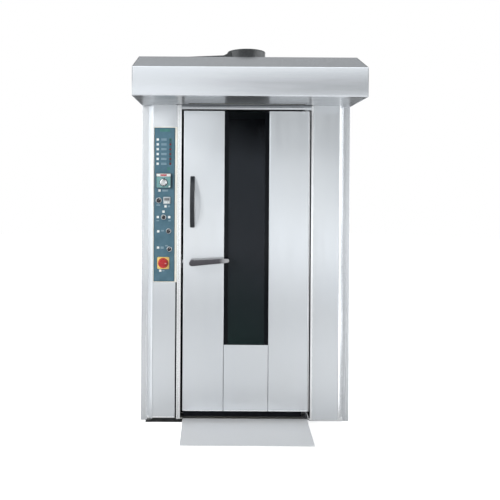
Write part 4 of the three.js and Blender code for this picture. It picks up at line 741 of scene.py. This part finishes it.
def make_stile(side):
    node = f"door_skin_{side}"
    (outer, inner), (y0, y1), zs = from_outside(node, side)
    corner = rounded([(outer, y1), (outer, y0), (inner, y0)], DOOR_FOLD)[:-1]
    inward = 1 if side == "left" else -1
    deep = facade + CROWN_DEPTH + 0.1 * MM
    wall = outer + inward * SHEET
    back = [(inner, deep), (outer + inward * DOOR_FOLD, deep), (wall, facade + DOOR_FOLD), (wall, y1)]
    stile = prism(f"door_stile_{side}", corner + crowned(inner, outer)[::-1] + back, Z, *zs, steel)
    if side == "left":
        bolt_xs, bolt_ys, bolt_zs = spans("latch_bolt")
        space = 0.8 * MM
        slot_way = block("slot", bolt_xs, grown(bolt_ys, space), grown(bolt_zs, space), steel)
        reach, spindle = mm(10, 8)
        around = [grown((centre, centre), spindle) for centre in (LATCH_X, LATCH_Z)]
        spindle_way = block("spindle way", around[0], grown((facade, facade), reach), around[1], steel)
        carve(stile, slot_way, spindle_way)
    put(stile, "door", "stainless", node)


def pillow(name, xs, zs, looks):
    """A plate in the door's face whose four edges curve back."""
    rings = [(0, facade + SHEET)] + [(CROWN_WIDTH * a, facade + CROWN_DEPTH * b) for a, b in quarter()]
    verts = []
    for inset, level in rings:
        (x0, x1), (z0, z1) = grown(xs, -inset), grown(zs, -inset)
        verts += [(x0, level, z0), (x1, level, z0), (x1, level, z1), (x0, level, z1)]
    ends = [(3, 2, 1, 0), tuple(range(len(verts) - 4, len(verts)))]
    return new_object(name, verts, ends + ring_faces(len(rings), 4), looks)


LATCH_X = -343 * MM
LATCH_Z = 1034 * MM
HEM_GAP = 0.3 * MM


def make_door():
    make_stile("left")
    make_stile("right")
    xs, _, zs = spans("door_skin_lower")
    put(pillow("door_panel_lower", xs, zs, steel), "door", "stainless", "door_skin_lower")
    z_low, z_seam = zs
    (_, left_end), (right_start, edge) = span("door_skin_left", X), span("door_skin_right", X)
    seams = [block("seam", grown(ends, -0.1 * MM), (facade + MM, facade + SHEET), (z_low + MM, z_seam), shade_and_mastic_black)
             for ends in ((left_end, xs[0]), (xs[1], right_start))]
    put(merged("door_seams", seams), "door", "seal_rubber")
    # Bright hems along the door's foot and a bright strip past the right stile's edge: painted highlights.
    hems = []
    for node in ("door_skin_left", "door_skin_lower", "door_skin_right"):
        hems.append(plaque("hem", grown(span(node, X), -3 * MM), (z_low + HEM_GAP, z_low + 6 * MM),
                           (facade - 0.8 * MM, facade - MARK_LIFT), 2 * MM, highlight_steel, 0.35 * MM))
    hems.append(block("edge", beyond(edge, 0.1, 3.6), (facade + 0.2 * MM, facade + SHEET),
                      (z_low + HEM_GAP, span("door_skin_right", Z)[1] - HEM_GAP), highlight_steel))
    put(merged("door_hem_highlights", hems), "door", "stainless")


HANDLE_STEPS = 40
HANDLE_THICK = 13 * MM
FULLNESS = 0.75  # of the bow, where 1 is a sine


def make_handle():
    """A bowed grip with a rounded section, swept along the bow."""
    (x0, x1), (y0, y1), (z0, z1) = spans("door_handle")
    middle, half, thick = (x0 + x1) / 2, (x1 - x0) / 2, HANDLE_THICK / 2
    section = round_rect((-half, half), (-thick, thick), 5 * MM)
    low, high = z0 + thick, z1 - thick
    path = []
    for i in range(HANDLE_STEPS + 1):
        share = i / HANDLE_STEPS
        rise = math.sin(math.pi * share) ** FULLNESS
        path.append(Vector((0, y1 - (y1 - y0 - thick) * rise, low + (high - low) * share)))
    verts = []
    for i, here in enumerate(path):
        along = (path[min(i + 1, HANDLE_STEPS)] - path[max(i - 1, 0)]).normalized()
        if i in (0, HANDLE_STEPS):
            along = Vector((0, -1 if i == 0 else 1, 0))
        out = along.cross(Vector((1, 0, 0)))
        verts += [(middle + a, here.y + out.y * b, here.z + out.z * b) for a, b in section]
    count = len(section)
    ends = [tuple(range(count - 1, -1, -1)), tuple(range(HANDLE_STEPS * count, (HANDLE_STEPS + 1) * count))]
    grip = new_object("pull_handle", verts, ends + ring_faces(HANDLE_STEPS + 1, count), grip_plastic)
    put(grip, "door", "handle_plastic", "door_handle")


LEVER_TILT = math.radians(4.5)
LEVER_ROOT = 18 * MM
LEVER_TIP = 13 * MM
LEVER_LENGTH = 236 * MM
LEVER_THICK = 14 * MM
LEVER_STEPS = 16


def lever_outline(root, tip, length):
    """A tapered bar with round ends, from the spindle's axis towards +X."""
    lean = math.asin((root - tip) / (length - tip))
    right = math.pi / 2
    return (arc((0, 0), root, right - lean, math.pi + 2 * lean, LEVER_STEPS)
            + arc((length - tip, 0), tip, lean - right, math.pi - 2 * lean, LEVER_STEPS))


def lever_look():
    """Dark satin metal that wears to bright bare metal towards the tip."""
    made, g = material("lever bar")
    wear = g.plus(g.axes()[X], g.times(g.noise(30, 3), 0.03))
    tip = LATCH_X + LEVER_LENGTH
    color = g.ramp(g.spread(wear, tip - 0.07, tip + 0.015, 0, 1),
                   (0.15, (0.09, 0.085, 0.095)), (0.8, (0.45, 0.45, 0.46)))
    fine = g.noise(1, 2, stretch=(30, 600, 600))
    g.surface(color=color, metal=0.7, rough=g.spread(fine, 0.3, 0.7, 0.3, 0.42), normal=g.bump(fine, 0.2, 0.0001))
    return made


def make_latch():
    y0, y1 = span("latch_lever", Y)
    back = y0 + LEVER_THICK
    bar = prism("lever", lever_outline(LEVER_ROOT, LEVER_TIP, LEVER_LENGTH), Y, y0, back, lever_look())
    soften(bar, 4.5 * MM, 4)
    spindle = lathe("spindle", [(0, 0), (7 * MM, 0), (7 * MM, y1 - back), (0, y1 - back)], machine_steel)
    lever = merged("latch_lever_bar", [bar, moved(spindle, (0, y1, 0), FACE_FRONT)])
    moved(lever, (LATCH_X, 0, LATCH_Z), Matrix.Rotation(-LEVER_TILT, 4, "Y"))
    put(lever, "latch_lever", "lever_metal", "latch_lever")
    (x0, x1), (y0, y1), _ = spans("latch_housing")
    radius, depth = (x1 - x0) / 2 / MM, (y1 - y0) / MM
    waist = radius - 3
    profile = [(7.5, 0), (radius, 0), (radius, 6), (waist, 9), (waist, depth - 4), (radius - 1, depth - 2),
               (radius - 1, depth), (7.5, depth)]
    housing = moved(turned("latch_boss", profile, lever_paint), (LATCH_X, y1, LATCH_Z), FACE_FRONT)
    put(housing, "door", "lever_metal", "latch_housing")


# ---------------- controls
plate_front = span("overlay_plate", Y)[0]
PRINT = 0.35 * MM  # thickness of a printed or stuck-on mark


def mark(name, x, z, width, height, looks, radius=1.2, front=plate_front):
    """A thin rounded patch on the overlay or on another face, in millimetres and centred at x, z."""
    outline = round_rect(mm(x - width / 2, x + width / 2), mm(z - height / 2, z + height / 2),
                         min(radius, width / 2.01, height / 2.01) * MM)
    return prism(name, outline, Y, front - PRINT, front - MARK_LIFT, looks)


LAMP_ROWS = range(1818, 1640, -31)
ICON_X = -568
LEGEND_X = -528.5
LAMP_X = -487
ICON_SIDE = 15
ICONS = ((-555, 1492), (-516, 1391), (-529, 1357), (-565, 1322), (-492, 1322), (-561.5, 1231), (-562, 1127),
         (-547, 980))
LEGENDS = ((-519, 1492, 36, 12), (-562, 1399, 24, 8), (-494, 1391, 14, 10), (-565, 1299, 16, 6),
           (-490, 1299, 16, 6), (-535, 1235, 18, 10), (-536, 1127, 20, 14), (-509, 1139, 16, 8),
           (-527, 980, 14, 8))


def make_overlay():
    xs, _, zs = spans("overlay_plate")
    outer = round_rect(xs, zs, 2 * MM)
    inner = round_rect(grown(xs, -3 * MM), grown(zs, -3 * MM), 1.5 * MM)
    marks = [ring_plate("border", outer, inner, (plate_front - PRINT, plate_front - MARK_LIFT), teal_dark),
             mark("label", -521.5, 1877, 66, 17, green_print), mark("patch", -497, 1632, 18, 20, green_print)]
    for z in LAMP_ROWS:
        marks.append(mark("icon", ICON_X, z, ICON_SIDE, ICON_SIDE, white_print, 2))
        for shift in (-3.6, 3.6):
            marks.append(mark("legend", LEGEND_X, z + shift, 34, 4.2, legend_print, 0.8))
    for x, z in ICONS:
        marks.append(mark("icon", x, z, ICON_SIDE, ICON_SIDE, white_print, 2))
    for x, z, width, height in LEGENDS:
        for row in (-1, 1):
            marks.append(mark("legend", x, z + row * height / 4, width, height / 2.6, legend_print, 0.6))
    put_still(merged("overlay_marks", marks), "overlay_plastic")

    outer = round_rect((xs[0] - 3 * MM, CHEEK_OUTER - CLEARANCE), grown(zs, 5 * MM), 2 * MM)
    inner = round_rect(grown(xs, 0.2 * MM), grown(zs, 0.2 * MM), MM)
    trim = ring_plate("overlay_trim", outer, inner, beyond(facade, -2, -0.1), cream)
    put_still(soften(trim, 0.6 * MM), "overlay_plastic")


def make_lamps():
    """Domed lenses in dark seats on a bar, the first one green."""
    lamps = []
    dome = [(6.2 * (1 - a), 5.6 - 3.6 * b) for a, b in quarter(8)]
    for z in LAMP_ROWS:
        look = lamp_green if z == LAMP_ROWS[0] else lamp_red
        lens = turned("lens", [(0, 0), (6.2, 0), *dome], look, 32)
        seat = turned("seat", [(6.4, -0.5), (8.2, -0.5), (8.2, 1.2), (7.6, 2), (6.4, 2)], lamp_seat, 32)
        for part in (lens, seat):
            lamps.append(moved(part, (LAMP_X * MM, plate_front, z * MM), FACE_FRONT))
    xs, _, zs = spans("indicator_lamps")
    lamps.append(plaque("bar", xs, zs, beyond(plate_front, -0.3, 1.5), 3 * MM, lamp_seat))
    put_still(merged("lamps", lamps), "lamp_plastic", "indicator_lamps")


TIMER_CENTRE = mm(-528, 1544)


def make_timer():
    """The case with its face and label, and a ring of ticks round the knob."""
    (x0, x1), (y0, y1), (z0, z1) = spans("timer_case")
    case = plaque("timer_body", (x0, x1), (z0, z1), (y0 + 2 * MM, y1), 5 * MM, timer_shell, MM)
    rim = 3 * MM
    xs = grown((x0, x1), -rim)
    face = plaque("face", xs, (z0 + rim, z1 - 22 * MM), beyond(y0, 1, 2.4), 3 * MM, timer_face, 0.5 * MM)
    band_front = y0 + 0.6 * MM
    band = plaque("band", xs, (z1 - 21 * MM, z1 - rim), (band_front, y0 + 2.4 * MM), 2 * MM, white_print, 0.4 * MM)
    label = mark("label", (x0 + x1) / 2 / MM, z1 / MM - 12, 40, 10, red_print, 1, band_front)
    spot = mark("spot", x1 / MM - 10, z0 / MM + 11, 9, 9, white_print, 1, y0 + MM)
    x, z = TIMER_CENTRE
    ticks = []
    for i in range(11):
        tick = block("tick", mm(-0.6, 0.6), beyond(y0, 0.7, 1.1), mm(27.5, 31), white_print)
        ticks.append(moved(tick, (x, 0, z), Matrix.Rotation(math.radians(-150 + 30 * i), 4, "Y")))
    timer = merged("timer", [case, face, band, label, spot, *ticks])
    put_still(timer, "timer_plastic", "timer_case")


def make_display():
    (x0, x1), (y0, y1), (z0, z1) = spans("temperature_display")
    body = plaque("display", (x0, x1), (z0, z1), (y0 + MM, y1), 3 * MM, lamp_ring, MM)
    back = y0 + 1.6 * MM
    glass = plaque("screen", grown((x0, x1), -6 * MM), (z0 + 22 * MM, z1 - 7 * MM), (y0 + 0.6 * MM, back), 1.5 * MM,
                   screen_grey, 0.3 * MM)
    keys = []
    for left in (7, 18, 29):
        xs = (x0 + left * MM, x0 + (left + 8) * MM)
        keys.append(plaque("key", xs, beyond(z0, 7, 15), (y0, back), 1.5 * MM, white_print, 0.4 * MM))
    put_still(merged("display_module", [body, glass, *keys]), "knob_metal", "temperature_display")


def set_knob(name, body, node, slot, parts, centre, stand, stem_length=24, angle=0):
    """Joins a knob's parts, made along +Z from its foot, and sets it on the panel, turned by degrees."""
    stem = turned("stem", [(0, -stem_length), (4, -stem_length), (4, 0), (0, 0)], machine_steel, 24)
    x, z = centre
    turn = Matrix.Rotation(math.radians(angle), 4, "Y") @ FACE_FRONT
    knob = moved(merged(name, [*parts, stem]), (x, span(node, Y)[0] + stand * MM, z), turn)
    put(knob, body, slot, node)


def pointer_line(half_width, ys, stand):
    return block("line", mm(-half_width, half_width), ys, mm(stand - 0.1, stand + 0.25), white_print)


def make_timer_knob():
    cap = turned("cap", [(0, 0), (25, 0), (25, 2), (24, 3), (22, 3.4), (21, 7), (18.5, 9), (17.5, 16), (16, 17.6),
                         (13, 18), (12, 17.2), (0, 17.2)], knob_silver)
    skirt = turned("skirt", [(24.2, 0.2), (25, 0.2), (25, 2.2), (24.2, 3.1), (22.1, 3.6), (22, 3)], knob_dark)
    pointer = block("pointer", mm(-1.6, 1.6), mm(-25, -17), mm(2, 9), knob_dark)
    set_knob("timer_dial", "timer_knob", "timer_knob", "knob_metal", [cap, skirt, pointer], TIMER_CENTRE, 18, 40)


SELECTORS = {
    "light_selector": (-559.5, 1429, 19, 45),
    "mode_selector": (-528, 1321.5, 17, -45),
    "fan_selector": (-495.5, 1233, 17, 45),
    "steam_selector": (-490, 1118, 17, 30),
}


def grip_outline(half, width):
    """A bar with round ends, along +Y of its own plane."""
    end = half - width
    return arc((0, end), width, 0, math.pi, 8) + arc((0, -end), width, math.pi, math.pi, 8)


def make_selectors():
    stand = 20
    for node, (x, z, rim, angle) in SELECTORS.items():
        bezel = turned("bezel", [(0, 0), (rim, 0), (rim, 1.6), (rim - 1.2, 3.4), (rim - 4, 4), (rim - 5, 2.4),
                                 (0, 2.4)], knob_silver, 48)
        dish = turned("dish", [(0, 2.3), (rim - 5, 2.3), (rim - 5.4, 5), (0, 5)], knob_dark, 48)
        half = (rim - 3) * MM
        grip = prism("grip", grip_outline(half, 4.5 * MM), Z, *mm(4.6, stand), knob_dark)
        line = pointer_line(0.7, (half * 0.35, half - 1.2 * MM), stand)
        set_knob(node + "_switch", node, node, "knob_metal", [bezel, dish, soften(grip, 1.4 * MM, 3), line],
                 mm(x, z), stand, angle=angle)


def make_main_switch():
    xs, (y0, y1), zs = spans("switch_plate")
    plate = plaque("plate", xs, zs, (y0, y1), 6 * MM, yellow_plastic, 1.4 * MM)
    x, z = sum(xs) / 2, sum(zs) / 2
    corner = 31 * MM
    screws = []
    for shift_x, shift_z in ((-corner, -corner), (-corner, corner), (corner, -corner), (corner, corner)):
        head = turned("screw", [(0, 0), (3, 0), (2.6, 1), (0, 1.3)], knob_silver, 20)
        screws.append(moved(head, (x + shift_x, y0 + 0.5 * MM, z + shift_z), FACE_FRONT))
    rosette = turned("rosette", [(28, 0), (33, 0), (33, 1.4), (31.5, 2.4), (28, 2.4)], red_plastic)
    moved(rosette, (x, y0 + 0.1 * MM, z), FACE_FRONT)
    put_still(merged("main_switch_plate", [plate, rosette, *screws]), "yellow_plastic", "switch_plate")
    stand, rim = 26, 27
    flange = turned("flange", [(0, 0), (rim, 0), (rim, 9), (rim - 1.5, 12.5), (rim - 5, 14), (0, 14)], red_plastic)
    grip = prism("grip", grip_outline((rim - 2) * MM, 7.5 * MM), Z, *mm(13, stand), red_plastic)
    line = pointer_line(1, mm(rim * 0.45, rim - 4), stand)
    set_knob("main_switch_grip", "main_switch", "main_switch_knob", "red_plastic",
             [flange, soften(grip, 2.2 * MM, 3), line], (x, z), stand, angle=90)


# ---------------- finishes of the frame's own nodes
NODE_LOOKS = {
    black_paint: ("shaft_bearing", "hinge_bracket_lower"),
    liner: ("chamber_floor", "roof_deck", "chamber_wall_left", "chamber_wall_right", "chamber_ceiling",
            "chamber_back_wall", "air_baffle", "fan_impeller", "door_pan"),
    # The front frame's cheeks are whiter: painted light.
    highlight_steel: ("front_frame",),
    side_steel: ("base_frame", "rear_panel"),
    mirror_steel: ("hood_soffit",),
    insulation: ("insulation_wrap", "door_insulation"),
    heater_metal: ("heater_bank",),
    machine_steel: ("steam_cascade", "hinge_bracket_upper", "latch_bolt", "drive_shaft",
                    "rack_carrier", "driven_sprocket", "drive_sprocket", "drive_chain", "damper_blade"),
    motor_paint: ("gearmotor", "fan_motor"),
    rubber: ("door_gasket", "door_sweep"),
    teal_plastic: ("overlay_plate",),
    pane_outer: ("door_glass_outer",),
    pane_inner: ("door_glass_inner",),
}


def dress_nodes():
    """Gives the nodes that stay visible their looks, on their own material slots."""
    for looks, nodes in NODE_LOOKS.items():
        for node in nodes:
            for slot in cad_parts[node].material_slots:
                slot.material = looks


# ---------------- studio
PIXELS = 500
VANISHING = (219, 181)  # pixel of the photograph that looks straight along +Y
FOCAL_PIXELS = 600
SENSOR = 36
CAMERA_PLACE = (-0.175, -4.409, 1.555)
CAMERA_ROLL = math.radians(0.35)


def make_camera():
    lens = bpy.data.cameras.new("camera")
    lens.sensor_width = SENSOR
    lens.sensor_fit = "HORIZONTAL"
    lens.lens = SENSOR * FOCAL_PIXELS / PIXELS
    lens.shift_x = (PIXELS / 2 - VANISHING[0]) / PIXELS
    lens.shift_y = (VANISHING[1] - PIXELS / 2) / PIXELS
    camera = in_scene("camera", lens)
    camera.location = CAMERA_PLACE
    camera.rotation_euler = (math.pi / 2, -CAMERA_ROLL, 0)
    bpy.context.scene.camera = camera


DOME_LOW, DOME_HIGH = -0.1, 0.5  # sine of the height
DOME_LEFT = ((-0.07, 0.97), (-0.015, 0.82), (0.03, 1.16), (0.07, 1.32), (0.11, 1.08), (0.15, 0.8), (0.25, 1.18),
             (0.5, 1.42))  # sine of the height, level
DOME_RIGHT = ((-0.07, 1.47), (-0.015, 1.04), (0.03, 0.9), (0.07, 0.54), (0.11, 0.12), (0.15, 0.36), (0.25, 1.18),
              (0.5, 1.42))


def make_world():
    """White to the camera; to polished metal a studio with soft bands of light along its horizon."""
    world = bpy.data.worlds.new("studio")
    bpy.context.scene.world = world
    world.use_nodes = True
    g = Graph(world.node_tree)
    x, y, z = g.axes("Generated")
    turn = g.math("ARCTAN2", x, g.times(y, -1))  # 0 in front, positive to the right
    right = g.slope(turn, -0.06, 0.06, 0, 1)
    left_band, right_band = (g.levels(z, DOME_LOW, DOME_HIGH, stops) for stops in (DOME_LEFT, DOME_RIGHT))
    sides = g.plus(g.times(left_band, g.rest(right)), g.times(right_band, right))
    behind = g.slope(y, 0.2, 0.6, 0, 1)
    back = g.times(g.slope(z, -0.12, -0.02, 0, 2.3), g.slope(z, -0.02, 0.35, 1, 0.17))
    level = g.plus(g.times(sides, g.rest(behind)), g.times(back, behind))
    for sign, strength in ((-1, 1.4), (1, 2.2)):  # soft boxes at the left and right ends
        angle = g.times(turn, sign)
        end = g.times(g.spread(angle, 0.75, 0.95, 0, strength), g.spread(angle, 1.9, 2.1, 1, 0))
        level = g.plus(level, end)
    dome = g.add("Background", {"Color": (0.95, 0.98, 1, 1), "Strength": level})
    fill = g.add("Background", {"Color": (0.96, 0.98, 1, 1), "Strength": 0.12})
    white = g.add("Background", {"Color": (1, 1, 1, 1), "Strength": 1.0})
    g.backdrop("OutputWorld", fill, dome, white)


FLOOR_RINGS = ((0.8, 0.46), (1.5, 0.8), (2.4, 0.84), (4, 0.54), (6.5, 0.8), (10, 1.5))  # distance, level
FLOOR_RADIUS = 14
FLOOR_SIDES = 64


def make_floor():
    """A pale floor: white to the camera apart from the shadow, a soft gradient to polished metal."""
    made, g = material("floor")
    x, y, _ = g.axes()
    aside = g.math("ABSOLUTE", x)
    distance = g.math("SQRT", g.math("MULTIPLY_ADD", x, x, g.times(y, y)))
    rings = g.levels(distance, 0.8, 10.8, FLOOR_RINGS)
    ends = g.plus(g.spread(x, 1.6, 2.6, 0, 2.2), g.spread(x, -3.2, -2.2, 1, 0))
    ends = g.times(ends, g.spread(distance, 4, 6, 1, 0))
    front = g.plus(rings, g.plus(g.spread(x, 0, 1.2, 0, 0.24), ends))
    behind = g.math("MAXIMUM", g.spread(y, 0.2, 1.2, 1, 0.08), g.spread(aside, 5, 7, 0, 0.9))
    outward = g.math("SUBTRACT", aside, g.times(y, 0.75))
    beside = g.times(g.spread(outward, 1, 1.3, 0, 1), g.spread(y, -0.7, -0.4, 0, 1))
    beside = g.times(beside, g.spread(x, -0.3, 0.3, 1.3, 2.5))  # what the bevelled posts mirror
    level = g.math("MAXIMUM", g.times(front, behind), beside)
    mirror = g.add("Emission", {"Color": (0.96, 0.98, 1, 1), "Strength": level})
    cover = g.add("BsdfDiffuse", {"Color": (0.86, 0.86, 0.86, 1)})
    glow = g.add("Emission", {"Color": (1, 1, 1, 1), "Strength": g.spread(distance, 1.2, 3, 0.8, 1.05)})
    shown = g.add("AddShader", {0: cover.outputs[0], 1: glow.outputs[0]})
    g.backdrop("OutputMaterial", cover, mirror, shown)
    points = [(x, y, -MM) for x, y in circle(FLOOR_RADIUS, FLOOR_SIDES)]
    floor = new_object("floor", points, [tuple(range(FLOOR_SIDES))], made)
    for face in floor.data.polygons:
        if face.normal.z < 0:
            face.flip()


LAMPS = (
    # name, place, aimed at, width, height, watts, colour
    ("left strip", (-3.15, -4.57, 1.85), (-0.3, -0.57, 1.3), 0.2, 1.4, 115, (1, 0.99, 0.975)),
    ("high left", (-3.6, -3.6, 4.1), (-0.2, -0.57, 1.4), 0.8, 0.8, 85, (1, 0.995, 0.985)),
    ("right strip", (3.5, -4.3, 1.9), (0.3, -0.57, 1.2), 0.14, 1.8, 16, (0.97, 0.985, 1)),
    ("top", (0, -1.6, 5.2), (0, -0.4, 2), 2.4, 0.5, 10, (1, 1, 1)),
)


def make_lamps_of_studio():
    for name, place, target, width, height, watts, color in LAMPS:
        light = bpy.data.lights.new(name, "AREA")
        light.shape = "RECTANGLE"
        light.size, light.size_y = width, height
        light.energy, light.color = watts, color
        lamp = in_scene(name, light)
        lamp.visible_glossy = False
        lamp.location = place
        lamp.rotation_euler = (Vector(target) - Vector(place)).to_track_quat("-Z", "Y").to_euler()


make_camera()
make_world()
make_lamps_of_studio()
make_floor()
dress_nodes()
make_hood()
make_flue()
make_casing()
make_gap_shade()
make_joints()
make_feet()
make_sill()
make_ramp()
make_door()
make_handle()
make_latch()
make_overlay()
make_lamps()
make_timer()
make_timer_knob()
make_display()
make_selectors()
make_main_switch()

bpy.context.scene.view_settings.view_transform = "Standard"
